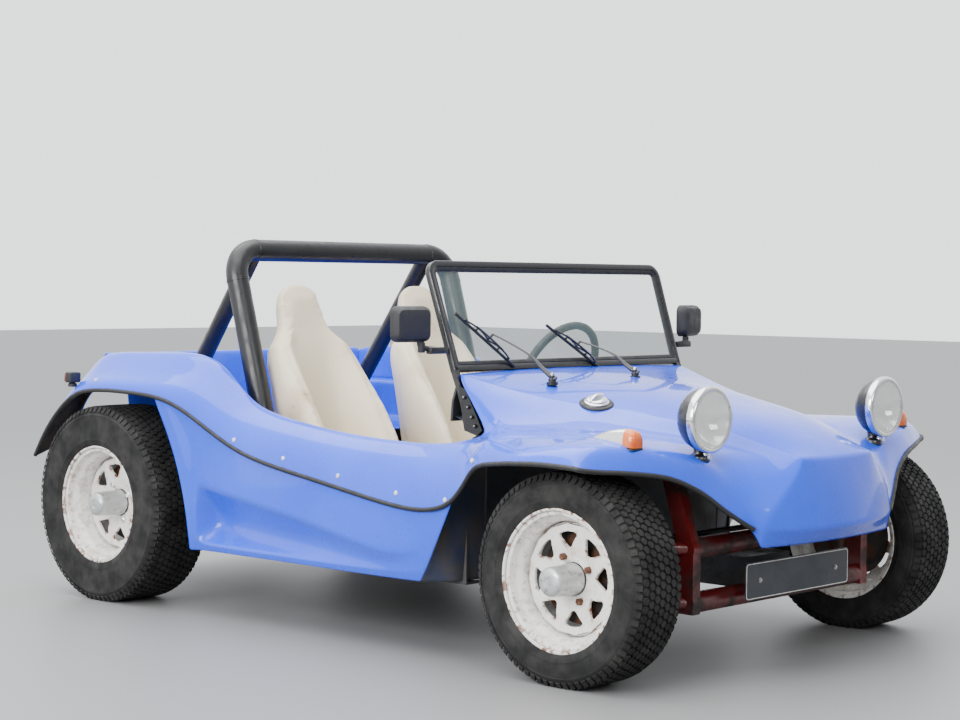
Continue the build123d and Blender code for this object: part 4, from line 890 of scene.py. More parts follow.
def hoop_at(across, up):
    """A place in the hoop's leaning plane."""
    return spot(across, HOOP_BEHIND - (HOOP_TOP - up) * HOOP_LEAN, up)


# %% Hoop and stays
hoop_mesh = bmesh.new()
corners = [hoop_at(across, up) for across, up in ((-HOOP_HALF, HOOP_FOOT), (-HOOP_HALF, HOOP_TOP),
                                                  (HOOP_HALF, HOOP_TOP), (HOOP_HALF, HOOP_FOOT))]
add_tube(hoop_mesh, rounded(corners, HOOP_BEND, 12), HOOP_RADIUS, sides=36)
for side, _ in SIDES:
    add_turned(hoop_mesh, hoop_at(side * HOOP_HALF, HOOP_TOP - COLLAR_DOWN), (0, HOOP_LEAN, 1), COLLAR, 36)
    add_turned(hoop_mesh, hoop_at(side * (HOOP_HALF - COLLAR_IN), HOOP_TOP), ACROSS, COLLAR, 36)
    foot = spot(side * STAY_ACROSS, *STAY_FOOT)
    stay = [hoop_at(side * STAY_ACROSS, HOOP_TOP - 4), spot(side * STAY_ACROSS, *STAY_KNEE), foot]
    add_tube(hoop_mesh, rounded(stay, STAY_BEND, 6), STAY_RADIUS, sides=28)
    add_turned(hoop_mesh, foot, UP, [(0, 0), (0, 52), (5, 52), (6, 48), (6, 0)], 32)
piece("roll_bar_sleeve", hoop_mesh, [black_sleeve], replaces=("roll_bar",), sharp=40)

# %% [markdown]
# ## Windscreen
# A flat pane sits in a black steel frame that leans back. The frame's section has two ridges, the tube and
# the rubber that grips the pane. It is swept round a rounded trapezoid drawn in the leaning plane. The posts
# run on below the corners, outside the scuttle, to bolted plates, which on the real car let the screen fold;
# here the frame stays fixed.

# %% Plane and outline of the screen
bright_steel = worn("bright_steel", (0.5, 0.5, 0.5), 0.32, 1.0, gloss=((80.0,), 0.25, 0.5),
                    tones=((40.0, 6.0, 0.5, 0.75), (0.5, 0.5, 0.5), (0.2, 0.17, 0.14)))
LEAN = radians(18.9)
SCREEN_UP = Vector((0, sin(LEAN), cos(LEAN)))
SCREEN_OUT = Vector((0, -cos(LEAN), sin(LEAN)))
SCREEN_BASE_HALF, SCREEN_TOP_HALF, SCREEN_RISE = 545.0, 556.0, 346.0
screen_foot = spot(0, 607, 813)


def on_screen(across, rise, out=0.0):
    """A place on the leaning pane, in millimetres across, up along it and out of it."""
    return screen_foot + ACROSS * across * MM + SCREEN_UP * rise * MM + SCREEN_OUT * out * MM


def screen_loop(inset, top_radius, low_radius, steps=8):
    """Closed outline of the screen, drawn in by the inset; its upper corners are rounder than the lower."""
    base, top = SCREEN_BASE_HALF - inset, SCREEN_TOP_HALF - inset
    low, high = on_screen(0, inset), on_screen(0, SCREEN_RISE - inset)
    corner = [[on_screen(side * base, inset), on_screen(side * top, SCREEN_RISE - inset)] for side in (1, -1)]
    start = rounded([low, corner[0][0], corner[0][1].lerp(corner[0][0], 0.5)], low_radius, steps)
    crown = rounded([start[-1], corner[0][1], corner[1][1], corner[1][1].lerp(corner[1][0], 0.5)], top_radius, steps)
    return start[:-1] + crown[:-1] + rounded([crown[-1], corner[1][0], low], low_radius, steps)[:-1]


# %% Windscreen frame
FRAME_SECTION = [(0, -7), (2, -10), (7, -11), (15, -11), (19, -9), (20, -5), (20, 5), (19, 9), (15, 11), (7, 11),
                 (2, 10), (0, 7)]
SEAL_SECTION = [(17, -6), (22, -8.5), (29, -7), (33, -3.5), (33, 3.5), (29, 7), (22, 8.5), (17, 6)]
LEG_SECTION = [(-11, -7), (-8, -10), (8, -10), (11, -7), (11, 7), (8, 10), (-8, 10), (-11, 7)]
# The folding plate's outline and its bolts, as (behind, up), and how far across its two faces stand.
PLATE = [(571, 776), (546, 766), (500, 690), (478, 650), (500, 634), (548, 646), (556, 676)]
PLATE_BOLTS = [(548, 744), (532, 716), (517, 688), (504, 662)]
PLATE_FACES = (551, 556)
frame_mesh = bmesh.new()
loop = screen_loop(0, 44, 5)
add_swept(frame_mesh, loop, FRAME_SECTION, SCREEN_OUT, closed=True)
add_swept(frame_mesh, loop, SEAL_SECTION, SCREEN_OUT, closed=True, paint=1)
for side, _ in SIDES:
    leg = [on_screen(side * 534, 60), on_screen(side * 534, 6), spot(side * 538, 575, 748), spot(side * 540, 541, 652)]
    add_rings(frame_mesh, [[place + (ACROSS * a + SCREEN_OUT * b) * MM for a, b in LEG_SECTION]
                           for place in flowing(leg, 5)], caps=True)
    add_rings(frame_mesh, [[spot(side * across, u, z) for u, z in PLATE] for across in PLATE_FACES], caps=True)
    for u, z in PLATE_BOLTS:
        bolt = spot(side * PLATE_FACES[1], u, z)
        add_turned(frame_mesh, bolt, ACROSS * side, [(0, 7), (4, 7), (6, 5.5), (6, 0)], 6)
        add_turned(frame_mesh, bolt, ACROSS * side, [(6, 3), (7.5, 2.5), (7.5, 0)], 12, paint=2)
piece("windscreen_surround", frame_mesh, [black_enamel, rubber, bright_steel],
      replaces=("windscreen_frame",), sharp=35)

# %% [markdown]
# ## Glass
# The pane is a real slab 5 mm thick. It is made with a thin tint rather than a refracting solid, so it keeps
# its reflection but lets the soft studio light through without noise or a hard shadow.

# %% Windscreen pane
PANE_INSET, PANE_HALF = 29, 2.5
pane_glass = worn("screen_glass", (0.3, 0.42, 0.38), 0.02, gloss=((6.0, 5.0), 0.01, 0.07), Alpha=0.12,
                  Specular_IOR_Level=0.6)
pane_mesh = bmesh.new()
add_rings(pane_mesh, [[place + SCREEN_OUT * out * MM for place in screen_loop(PANE_INSET, 20, 8)]
                      for out in (-PANE_HALF, PANE_HALF)], caps=True)
piece("windscreen_pane", pane_mesh, [pane_glass], replaces=("windscreen_glass",), sharp=30)

# %% [markdown]
# ## Wipers
# Each wiper is a curved arm from a spindle on the scuttle, a bridge of small claws, and a straight rubber
# blade parked across the pane. The arm tapers, so its tube takes a radius for each point.

# %% Wipers
# spindle on the scuttle, then across and rise on the pane of the blade's ends and of the arm's end
WIPERS = [("right", (-342, 396, 787), (-492, 178), (-287, 7), (-372, 104)),
          ("left", (48, 396, 794), (-94, 137), (116, -9), (22, 76))]
for name, spindle, upper, lower, grip in WIPERS:
    wiper_mesh = bmesh.new()
    foot = spot(*spindle)
    high, low, hold = on_screen(*upper, 22), on_screen(*lower, 22), on_screen(*grip, 36)
    add_turned(wiper_mesh, foot, UP, [(-8, 17), (1, 17), (3, 12), (10, 12), (12, 9), (19, 9), (21, 6), (21, 0)], 20)
    add_turned(wiper_mesh, foot, UP, [(19, 7), (26, 6.5), (28, 4), (28, 0)], 6, paint=2)
    reach = hold - foot
    arm = flowing([foot + UP * 15 * MM - reach * 0.05, foot + UP * 17 * MM + reach * 0.16,
                   foot + UP * 26 * MM + reach * 0.36, foot + UP * 16 * MM + reach * 0.68, hold], 6)
    count = len(arm) - 1
    add_tube(wiper_mesh, arm, [10 - 7 * min(1, 1.7 * i / count) for i in range(count + 1)], sides=8, squash=0.62)
    run = low - high

    def along(share, out):
        """A place along the blade, this far out of the pane's face."""
        return high + run * share + SCREEN_OUT * out * MM

    for first, last in ((0.14, 0.5), (0.5, 0.86)):
        add_tube(wiper_mesh, [along(first + (last - first) * t, 12 * sin(pi * t * 0.9))
                              for t in (0, 0.2, 0.4, 0.6, 0.8, 1)], 3.0, sides=6)
    add_tube(wiper_mesh, [along(s, 6 + 9 * sin(pi * s)) for s in (0.28, 0.36, 0.44, 0.5, 0.56, 0.64, 0.72)], 3.4,
             sides=6)
    add_tube(wiper_mesh, [hold, along(0.5, 6)], 4.0, sides=6)
    for share in (0.14, 0.32, 0.68, 0.86):
        add_tube(wiper_mesh, [along(share, -4), along(share, 5)], 3.8, sides=6)
    add_tube(wiper_mesh, [along(s, -7) for s in (0.0, 0.25, 0.5, 0.75, 1.0)], 4.8, sides=6, paint=1)
    piece(f"wiper_arm_{name}", wiper_mesh, [black_enamel, rubber, bright_steel],
          replaces=(f"wiper_{name}",))

# %% [markdown]
# ## Mirrors
# A rounded plastic housing hangs on a short stalk clamped to each windscreen post. The housing is a stack of
# rounded rectangles that swell behind the glass; the glass itself faces rearwards.

# %% Door mirrors
mirror_glass = worn("mirror_glass", (0.9, 0.92, 0.93), 0.03, 1.0, gloss=((20.0,), 0.01, 0.06))
MIRROR_TURN = 10
# behind the housing's heart, half width, half height
HOUSING = [(-24, 40, 28), (-21, 56, 42), (-10, 64, 50), (4, 67, 53), (10, 67, 53), (12, 65, 51), (9, 61, 47)]
GLASS = [(9.5, 61, 47), (10.1, 61, 47)]


def rounded_rectangle(wide, tall, corner, steps=5):
    """Outline of a rounded rectangle as (across, up), half sizes given."""
    line = []
    for cx, cz, start in ((1, 1, 0), (-1, 1, 1), (-1, -1, 2), (1, -1, 3)):
        for step in range(steps + 1):
            t = pi / 2 * (start + step / steps)
            line.append((cx * (wide - corner) + cos(t) * corner, cz * (tall - corner) + sin(t) * corner))
    return line


def add_box(mesh, heart, stations, corner, turn=Matrix.Identity(3), paint=0):
    """A box of rounded rectangles, one behind the other; the corner is a radius, or a share of the size below 1."""
    add_rings(mesh, [[heart + turn @ Vector((a, back, b)) * MM
                      for a, b in rounded_rectangle(wide, tall, corner if corner >= 1 else min(wide, tall) * corner)]
                     for back, wide, tall in stations], caps=True, paint=paint)


for side, name in SIDES:
    mirror_mesh = bmesh.new()
    heart = spot(side * 667, 661, 955)
    turn = Matrix.Rotation(radians(side * MIRROR_TURN), 3, "Z")
    add_box(mirror_mesh, heart, HOUSING, 0.42, turn)
    add_box(mirror_mesh, heart, GLASS, 19, turn, paint=1)
    stalk = [heart + turn @ Vector((-side * 30, -4, -46)) * MM, spot(side * 640, 650, 893), spot(side * 622, 640, 884),
             spot(side * 570, 625, 880)]
    add_tube(mirror_mesh, flowing(stalk, 5), 8.0, sides=12)
    add_block(mirror_mesh, (side * 590 - 36, 616, 868), (side * 590 + 36, 640, 888), 4, 2)
    add_turned(mirror_mesh, spot(side * 636, 648, 886), UP, [(-14, 9), (-12, 11), (14, 11), (18, 7), (18, 0)], 16)
    piece(f"door_mirror_{name}", mirror_mesh, [black_plastic, mirror_glass, black_enamel],
          replaces=(f"mirror_{name}",))

# %% [markdown]
# ## Seats
# The seats are moulded buckets in cream vinyl: a narrow head, sloping shoulders, and deep wings that sweep
# down and forward round the cushion, one skin without a break. A rigid shell of that shape carries foam, and
# the vinyl is pulled over it. The form is swept along the seat's centreline as closed rings. It is then
# remeshed and puffed by a short cloth simulation, which gives the vinyl its soft swell and slight unevenness.

# %% Cream vinyl
CREAM = (0.8, 0.7, 0.52)
vinyl = worn("cream_vinyl", CREAM, 0.42, gloss=((14.0,), 0.36, 0.52), grain=((700.0, 3.0), 0.12),
             Coat_Weight=0.1, Coat_Roughness=0.35, Subsurface_Weight=0.04)
grime = cloud(vinyl, 5.0, 7.0, 0.52, 0.74)
fine_grime = cloud(vinyl, 26.0, 6.0, 0.56, 0.75)
soiled = blend(vinyl, grime, CREAM, (0.62, 0.5, 0.33))
drive(vinyl, "Base Color", blend(vinyl, product(vinyl, grime, fine_grime), soiled, (0.42, 0.33, 0.22)))
print("vinyl made")

# %% Seat form
SEAT_ACROSS, SEAT_SHRINK = 285.0, 8
# Stations along the centreline of the seat's front face, from the cushion's front edge to the head's top:
# behind, up, half width, thickness, wing height
SEAT_ROWS = [
    (1040, 318, 160, 70, 0),
    (1046, 346, 172, 92, 8),
    (1080, 362, 178, 104, 34),
    (1150, 358, 180, 110, 74),
    (1230, 346, 180, 112, 128),
    (1310, 336, 180, 116, 176),
    (1372, 350, 180, 122, 204),
    (1404, 392, 180, 116, 214),
    (1418, 450, 180, 108, 212),
    (1436, 540, 180, 100, 190),
    (1458, 640, 180, 94, 148),
    (1482, 740, 180, 88, 96),
    (1502, 820, 179, 84, 56),
    (1514, 866, 170, 80, 34),
    (1523, 892, 148, 76, 20),
    (1533, 922, 120, 72, 10),
    (1543, 960, 108, 70, 4),
    (1553, 1005, 102, 66, 0),
    (1561, 1044, 90, 58, 0),
    (1566, 1066, 68, 44, 0),
    (1568, 1078, 40, 24, 0),
]
# Half of the section, from the middle of the front face round the wing to the middle of the back:
# share of the half width, share of the wing's height, share of the thickness
SEAT_SECTION = [
    (0.0, -0.01, 0.0), (0.2, 0.01, 0.0), (0.36, 0.08, 0.0), (0.5, 0.24, 0.0), (0.61, 0.48, 0.0), (0.71, 0.74, 0.0),
    (0.8, 0.92, 0.0), (0.88, 1.0, 0.0), (0.95, 0.97, 0.0), (1.0, 0.82, 0.0), (1.02, 0.5, 0.0), (1.02, 0.2, 0.0),
    (1.0, 0.0, -0.2), (0.98, 0.0, -0.55), (0.9, 0.0, -0.82), (0.7, 0.0, -0.95), (0.35, 0.0, -1.0), (0.0, 0.0, -1.0),
]
SEAT_ROUND = SEAT_SECTION + [(-a, b, c) for a, b, c in SEAT_SECTION[-2:0:-1]]
print("seat form", len(SEAT_ROWS), "rings of", len(SEAT_ROUND))


# %% Rings of the seat
def seat_rings(across, shrink):
    """Closed rings round the seat's section, one for each station."""
    rings = []
    for i, (behind, up, half, thick, wing) in enumerate(SEAT_ROWS):
        before, after = SEAT_ROWS[max(i - 1, 0)], SEAT_ROWS[min(i + 1, len(SEAT_ROWS) - 1)]
        along = Vector((0, after[0] - before[0], after[1] - before[1])).normalized()
        out = Vector((0, -along.z, along.y))
        rings.append([spot(across + (half - shrink) * a, behind + out.y * rise, up + out.z * rise)
                      for a, rise in ((a, b * wing + c * (thick - shrink) - shrink * (0.5 if c == 0 else 0))
                                      for a, b, c in SEAT_ROUND)])
    return rings


# %% Puffing by cloth
# Sizes in millimetres: of the remesh, and how far the cloth may move.
VOXEL, PUFF_CAP = 9.0, 10.0
PRESSURE, STIFFNESS, BENDING, QUALITY, STEPS = 3.0, 18, 2, 5, 20


def settle(thing):
    """Applies every modifier of a piece to its mesh."""
    graph = bpy.context.evaluated_depsgraph_get()
    made = bpy.data.meshes.new_from_object(thing.evaluated_get(graph))
    thing.modifiers.clear()
    thing.data = made


def puffed(thing):
    """Remeshes a form, blows it up as cloth, and keeps each point no further than the cap from its start."""
    remesh = thing.modifiers.new("remesh", "REMESH")
    remesh.mode, remesh.voxel_size = "VOXEL", VOXEL * MM
    smooth = thing.modifiers.new("smooth", "SMOOTH")
    smooth.factor, smooth.iterations = 0.5, 12
    settle(thing)
    start = [vert.co.copy() for vert in thing.data.vertices]
    cloth = thing.modifiers.new("cloth", "CLOTH")
    cloth.settings.use_pressure = True
    cloth.settings.uniform_pressure_force = PRESSURE
    cloth.settings.tension_stiffness = cloth.settings.compression_stiffness = STIFFNESS
    cloth.settings.bending_stiffness = BENDING
    cloth.settings.quality = QUALITY
    cloth.settings.effector_weights.gravity = 0
    cloth.point_cache.frame_end = STEPS
    for step in range(1, STEPS + 1):
        bpy.context.scene.frame_set(step)
    settle(thing)
    bpy.context.scene.frame_set(1)
    for vert, place in zip(thing.data.vertices, start):
        move = vert.co - place
        if move.length > PUFF_CAP * MM:
            vert.co = place + move.normalized() * PUFF_CAP * MM


# %% Two seats
for side, name in SIDES:
    seat_mesh = bmesh.new()
    add_rings(seat_mesh, seat_rings(side * SEAT_ACROSS, SEAT_SHRINK), caps=True)
    seat = piece(f"bucket_seat_{name}", seat_mesh, [vinyl], replaces=(f"seat_{name}",), sharp=60)
    puffed(seat)
    subdivided(seat, 1)
    print(seat.name, len(seat.data.vertices), "vertices")

# %% [markdown]
# ## Headlamps
# Each headlamp is a black steel bowl with a deep chrome ring, a silvered reflector with its bulb, and a
# domed lens whose ribs run up and down. The ribs are part of the mesh: the lens is a fine grid of rings, and
# each point is pushed out by a wave across it. A foot and two bolts hold the bowl on the nose.

# %% Lamp finishes
FLUTES = (1, 1, 0.1)
reflector_silver = worn("reflector_silver", (0.86, 0.86, 0.84), 0.1, 1.0, gloss=((30.0, 5.0), 0.05, 0.22))
lamp_lens = worn("lamp_lens", (0.9, 0.92, 0.9), 0.06, gloss=((18.0, 5.0), 0.03, 0.14), Alpha=0.32,
                 Specular_IOR_Level=0.8, Coat_Weight=0.6)
amber_lens = worn("amber_lens", (0.75, 0.13, 0.012), 0.16, Coat_Weight=0.5, Subsurface_Weight=0.25,
                  tones=((40.0, 5.0), (0.62, 0.09, 0.008), (0.82, 0.17, 0.02)),
                  grain=((90.0, 2.0, 0.35, 0.65, FLUTES), 0.5, 0.7))
red_lens = worn("red_lens", (0.36, 0.006, 0.006), 0.16, Coat_Weight=0.5,
                tones=((40.0, 5.0), (0.28, 0.004, 0.004), (0.42, 0.01, 0.01)),
                grain=((110.0, 2.0, 0.35, 0.65, FLUTES), 0.5, 0.7))
white_plastic = worn("white_plastic", (0.72, 0.71, 0.67), 0.42,
                     tones=((120.0, 4.0, 0.45, 0.7), (0.76, 0.75, 0.71), (0.5, 0.46, 0.4)))
print("lamp finishes made")

# %% Headlamps
LAMP_ACROSS, LAMP_FRONT, LAMP_UP = 440.0, -262.0, 716.0
# along the lamp from its front face towards the back, and radius
BOWL = [(14, 82), (16, 86), (30, 86.5), (46, 83), (62, 75), (77, 61), (88, 43), (95, 24), (97, 0)]
RING = [(23, 86), (24, 90), (21, 91.5), (9, 91.5), (4, 89.5), (0.5, 86), (0, 82), (2, 78.5), (7, 78)]
REFLECTOR = [(7, 78), (22, 70), (38, 56), (50, 38), (58, 20), (60, 9), (60, 0)]
BULB = [(-8, 0), (-7, 5), (-2, 8), (8, 8), (14, 6), (34, 6)]
LENS_RADIUS, LENS_BULGE, LENS_RINGS, LENS_STEPS = 78, 7, 25, 72
RIB_WIDTH, RIB_DEPTH = 9.0, 0.9

for side, name in SIDES:
    lamp_mesh = bmesh.new()
    face = spot(side * LAMP_ACROSS, LAMP_FRONT, LAMP_UP)
    add_turned(lamp_mesh, face, BEHIND, BOWL, 56)
    add_turned(lamp_mesh, face, BEHIND, RING, 64, paint=1)
    add_turned(lamp_mesh, face, BEHIND, REFLECTOR, 56, paint=2)
    add_turned(lamp_mesh, face + BEHIND * 26 * MM, BEHIND, BULB, 20, paint=3)
    lens_rings = []
    for step in range(LENS_RINGS):
        radius = LENS_RADIUS * (1 - step / LENS_RINGS)
        bulge = LENS_BULGE * (1 - (radius / LENS_RADIUS) ** 2)
        ring = []
        for k in range(LENS_STEPS):
            a, b = cos(tau * k / LENS_STEPS) * radius, sin(tau * k / LENS_STEPS) * radius
            rib = RIB_DEPTH * cos(tau * a / RIB_WIDTH) * min(1, (LENS_RADIUS - radius) / 10)
            ring.append(face + (ACROSS * a + UP * b + BEHIND * (3 - bulge + rib)) * MM)
        lens_rings.append(ring)
    add_rings(lamp_mesh, lens_rings, caps=True, paint=3)
    foot = spot(side * (LAMP_ACROSS - 4), LAMP_FRONT + 50, LAMP_UP - 100)
    add_turned(lamp_mesh, foot, UP, [(-14, 30), (-2, 30), (2, 27), (6, 17), (12, 15), (26, 17)], 28)
    for shift in (-20, 20):
        add_turned(lamp_mesh, foot + BEHIND * shift * MM, UP, [(-4, 8), (4, 8), (4, 5), (9, 4.5), (9, 0)], 6, paint=1)
    clamp = face + (BEHIND * 12 - UP * 92) * MM
    add_tube(lamp_mesh, [clamp + UP * 6 * MM, clamp - UP * 9 * MM], 3.2, sides=10, paint=1)
    add_turned(lamp_mesh, clamp - UP * 9 * MM, UP, [(-5, 0), (-5, 5.5), (0, 6.5), (2, 6.5), (2, 0)], 6, paint=1)
    piece(f"round_headlamp_{name}", lamp_mesh, [black_enamel, chrome, reflector_silver, lamp_lens],
          replaces=(f"headlamp_{name}",), sharp=42)

# %% [markdown]
# ## Indicators
# A chromed teardrop lies on each fender, its tail to the rear, with an amber lens as its blunt front end and a
# thin black gasket under both. The sections are arches on a flat base, so one helper serves body, lens and
# gasket.

# %% Indicators
INDICATOR_ACROSS, ARCH_STEPS = 664.0, 16
# How square the arch is, across and up.
ARCH_BLUNT, ARCH_TALL = 0.7, 0.75
# behind the front axle, height of the base, half width, height of the arch
INDICATOR_BODY = [(-30, 667, 1, 2), (-44, 665.5, 7, 9), (-66, 662.5, 14, 20), (-94, 659, 20, 31),
                  (-124, 655, 24, 40), (-150, 651.5, 25.5, 45)]
INDICATOR_LENS = [(-149, 651.5, 25.8, 45.5), (-152, 651, 26, 46), (-166, 649, 26, 45.5), (-176, 647.5, 25, 43),
                  (-181, 647, 22, 38), (-183, 647, 16, 30)]


def add_arches(mesh, stations, across, grow=0.0, drop=0.0, paint=0):
    """Joins arched sections with a flat base."""
    rings = []
    for behind, base, half, rise in stations:
        ring = []
        for k in range(ARCH_STEPS + 1):
            t = pi * k / ARCH_STEPS
            x = abs(cos(t)) ** ARCH_BLUNT * (1 if cos(t) > 0 else -1) * (half + grow)
            ring.append(spot(across + x, behind, base - drop + abs(sin(t)) ** ARCH_TALL * rise))
        rings.append(ring + [spot(across, behind, base - drop - 0.5)])
    add_rings(mesh, rings, caps=True, paint=paint)


for side, name in SIDES:
    indicator_mesh = bmesh.new()
    add_arches(indicator_mesh, INDICATOR_BODY, side * INDICATOR_ACROSS)
    add_arches(indicator_mesh, INDICATOR_LENS, side * INDICATOR_ACROSS, paint=1)
    base_line = [row[:3] + (6,) for row in INDICATOR_BODY + INDICATOR_LENS[2:]]
    add_arches(indicator_mesh, base_line, side * INDICATOR_ACROSS, grow=2.5, drop=6, paint=2)
    piece(f"indicator_lamp_{name}", indicator_mesh, [chrome, amber_lens, rubber],
          replaces=(f"indicator_{name}",), sharp=50)

# %% [markdown]
# ## Tail lamps and fuel cap
# The tail lamps are small black boxes with red lenses that face the rear. The fuel cap sits tilted on the
# right shoulder: a black rubber collar, a stepped chrome lid and a raised grip across it.

# %% Tail lamps
# behind the lamp's heart, half width, half height
TAIL_BOX = [(-20, 18, 14), (-18, 21, 17), (8, 22, 18), (10, 22, 18)]
TAIL_LENS = [(10, 21, 17), (18, 20.5, 16.5), (22, 18, 14), (23, 12, 9)]
for side, name in SIDES:
    tail_mesh = bmesh.new()
    heart = spot(side * 740, 2212, 741)
    add_box(tail_mesh, heart, TAIL_BOX, 6)
    add_box(tail_mesh, heart, TAIL_LENS, 6, paint=1)
    add_turned(tail_mesh, heart - UP * 24 * MM, UP, [(-8, 15), (2, 15), (6, 10), (10, 10)], 20)
    piece(f"tail_lamp_box_{name}", tail_mesh, [black_plastic, red_lens],
          replaces=(f"tail_lamp_{name}",))

# %% Fuel cap
COLLAR_PROFILE = [(-6, 0), (-6, 50), (2, 50), (5, 47), (6, 41), (6, 30)]
LID_PROFILE = [(5, 36), (9, 36), (11, 34), (12, 31), (16, 30), (18, 27), (19, 20), (19, 0)]
# along the grip, height over the lid's foot, radius
GRIP = [(-28, 17, 3), (-24, 20, 6), (-12, 23, 8), (0, 24, 9), (12, 23, 8), (24, 20, 6), (28, 17, 3)]
cap_mesh = bmesh.new()
cap_heart = spot(-366, 207, 733)
cap_axis = Vector((-0.23, -0.24, 0.94)).normalized()
add_turned(cap_mesh, cap_heart, cap_axis, COLLAR_PROFILE, 48, paint=1)
add_turned(cap_mesh, cap_heart, cap_axis, LID_PROFILE, 48)
grip_run = cap_axis.cross(BEHIND).normalized()
add_tube(cap_mesh, [cap_heart + (cap_axis * rise + grip_run * run) * MM for run, rise, _ in GRIP],
         [radius for *_, radius in GRIP], sides=14)
piece("fuel_filler_cap", cap_mesh, [chrome, rubber], replaces=("fuel_cap",), sharp=34)

# %% [markdown]
# ## Plate and screws
# The plate is a slate blue sheet with round corners, a pale border line and two bolts, and it carries no
# writing. White plastic screw caps run along the seam of each side panel.

# %% Number plate
plate_paint = worn("plate_slate", (0.028, 0.034, 0.045), 0.4, gloss=((9.0, 5.0), 0.3, 0.5),
                   tones=((60.0, 6.0, 0.55, 0.75), (0.022, 0.027, 0.037), (0.035, 0.038, 0.044)))
PLATE_HALF, PLATE_TALL, PLATE_CORNER = 259.0, 53.0, 12.0
plate_mesh = bmesh.new()
plate_heart = spot(0, -245, 256)


def plate_ring(inset, out):
    """An outline of the plate, this far in from its edge and this far out of its middle."""
    return [plate_heart + (ACROSS * a + UP * b - BEHIND * out) * MM
            for a, b in rounded_rectangle(PLATE_HALF - inset, PLATE_TALL - inset, PLATE_CORNER - inset * 0.6, 6)]


for outline, paint in ((((1, -1.5), (0, -0.5), (0, 0.8), (1, 1.5), (3.5, 1.5)), 0),
                       (((3.5, 1.4), (3.5, 1.9), (5.5, 1.9), (5.5, 1.4)), 1)):
    add_rings(plate_mesh, [plate_ring(inset, out) for inset, out in outline], caps=not paint, paint=paint)
for side, _ in SIDES:
    add_turned(plate_mesh, plate_heart + ACROSS * side * 190 * MM, -BEHIND,
               [(1, 8), (2.5, 8), (3, 6), (5.5, 5.5), (5.5, 0)], 6, paint=2)
piece("front_plate_sheet", plate_mesh, [plate_paint, white_plastic, bright_steel],
      replaces=("number_plate",))

# %% Screw caps
# across, behind, up, and how far the cap turns forward
SCREWS = [(742, 2077, 737, 0.0), (735, 1370, 578, -0.1), (733, 1141, 535, 0.0), (737, 892, 500, 0.0),
          (742, 642, 469, 0.0), (750, 438, 466, 0.0), (771, 316, 586, 0.45)]
SCREW_CAP = [(-4, 7), (1, 7), (3.4, 5), (4.2, 2.5), (4.2, 0)]
screw_mesh = bmesh.new()
for side, _ in SIDES:
    for across, behind, up, forward in SCREWS:
        out = Vector((side, forward, 0.2)).normalized()
        add_turned(screw_mesh, spot(side * across, behind, up), out, SCREW_CAP, 16)
piece("panel_screw_caps", screw_mesh, [white_plastic])

# %% [markdown]
# ## Steering
# A three-spoked wheel with drilled spokes and a thick rim sits on a raked column. The wheel turns with its own
# body, the column stays with the car. Everything on the wheel is placed from its centre and its axis.

# %% Sizes of the steering
COLUMN_RAKE = radians(25)
COLUMN_AXIS = Vector((0, cos(COLUMN_RAKE), sin(COLUMN_RAKE)))
WHEEL_UP = Vector((0, -sin(COLUMN_RAKE), cos(COLUMN_RAKE)))
WHEEL_RADIUS, GRIP_RADIUS, SPOKE_WIDTH = 170.0, 13.5, 36.0
wheel_centre = spot(320, 940, 783)
BOSS = [(-46, 0), (-46, 26), (-30, 30), (-14, 42), (-4, 44), (2, 40), (8, 30), (11, 16), (11, 0)]
SPOKE_HALF, RAIL_INNER = 1.6, 0.42
RAIL_STATIONS = (0, 38, 54, 66, 78, 90, 102, 114, 126, 138, WHEEL_RADIUS)
BRIDGES, BRIDGE_HALF = (38, 60, 84, 108, 132, 150), 5


def on_spoke(run, reach):
    """A spoke's middle and half width at a distance from the wheel's centre."""
    share = reach / WHEEL_RADIUS
    return wheel_centre + (run * reach - COLUMN_AXIS * (6 - 4 * share)) * MM, SPOKE_WIDTH / 2 * (1 + 0.25 * share)


# %% Steering wheel
steering_mesh = bmesh.new()
grip = [wheel_centre + (ACROSS * cos(t) + WHEEL_UP * sin(t)) * WHEEL_RADIUS * MM
        for t in (tau * k / 72 for k in range(72))]
add_swept(steering_mesh, grip, [(cos(a) * GRIP_RADIUS, sin(a) * GRIP_RADIUS)
                                for a in (tau * k / 14 for k in range(14))], COLUMN_AXIS, closed=True)
add_turned(steering_mesh, wheel_centre, COLUMN_AXIS, BOSS, 40)
for angle in (180, 0, 270):
    run = ACROSS * cos(radians(angle)) + WHEEL_UP * sin(radians(angle))
    wide = COLUMN_AXIS.cross(run)
    # Two rails along the spoke, then the bridges between its holes.
    for low, high in ((-1, -RAIL_INNER), (RAIL_INNER, 1)):
        rings = []
        for at, half in (on_spoke(run, reach) for reach in RAIL_STATIONS):
            rings.append([at + (wide * half * a + COLUMN_AXIS * b * SPOKE_HALF) * MM
                          for a, b in ((low, -1), (high, -1), (high, 1), (low, 1))])
        add_rings(steering_mesh, rings, caps=True, paint=1)
    for at, half in (on_spoke(run, reach) for reach in BRIDGES):
        add_rings(steering_mesh, [[at + (run * a * BRIDGE_HALF + wide * half * b * 0.5 + COLUMN_AXIS * c * SPOKE_HALF)
                                   * MM for a, b in ((-1, -1), (1, -1), (1, 1), (-1, 1))] for c in (-1, 1)],
                  caps=True, paint=1)
piece("steering_wheel_grip", steering_mesh, [black_plastic, black_enamel], body="steering_wheel_body",
      replaces=("steering_wheel",))


# %% Column
def on_column(down, across=0, rise=0):
    """A place this far down the column from the wheel's centre, and beside it."""
    return wheel_centre + (WHEEL_UP * rise - ACROSS * across - COLUMN_AXIS * down) * MM


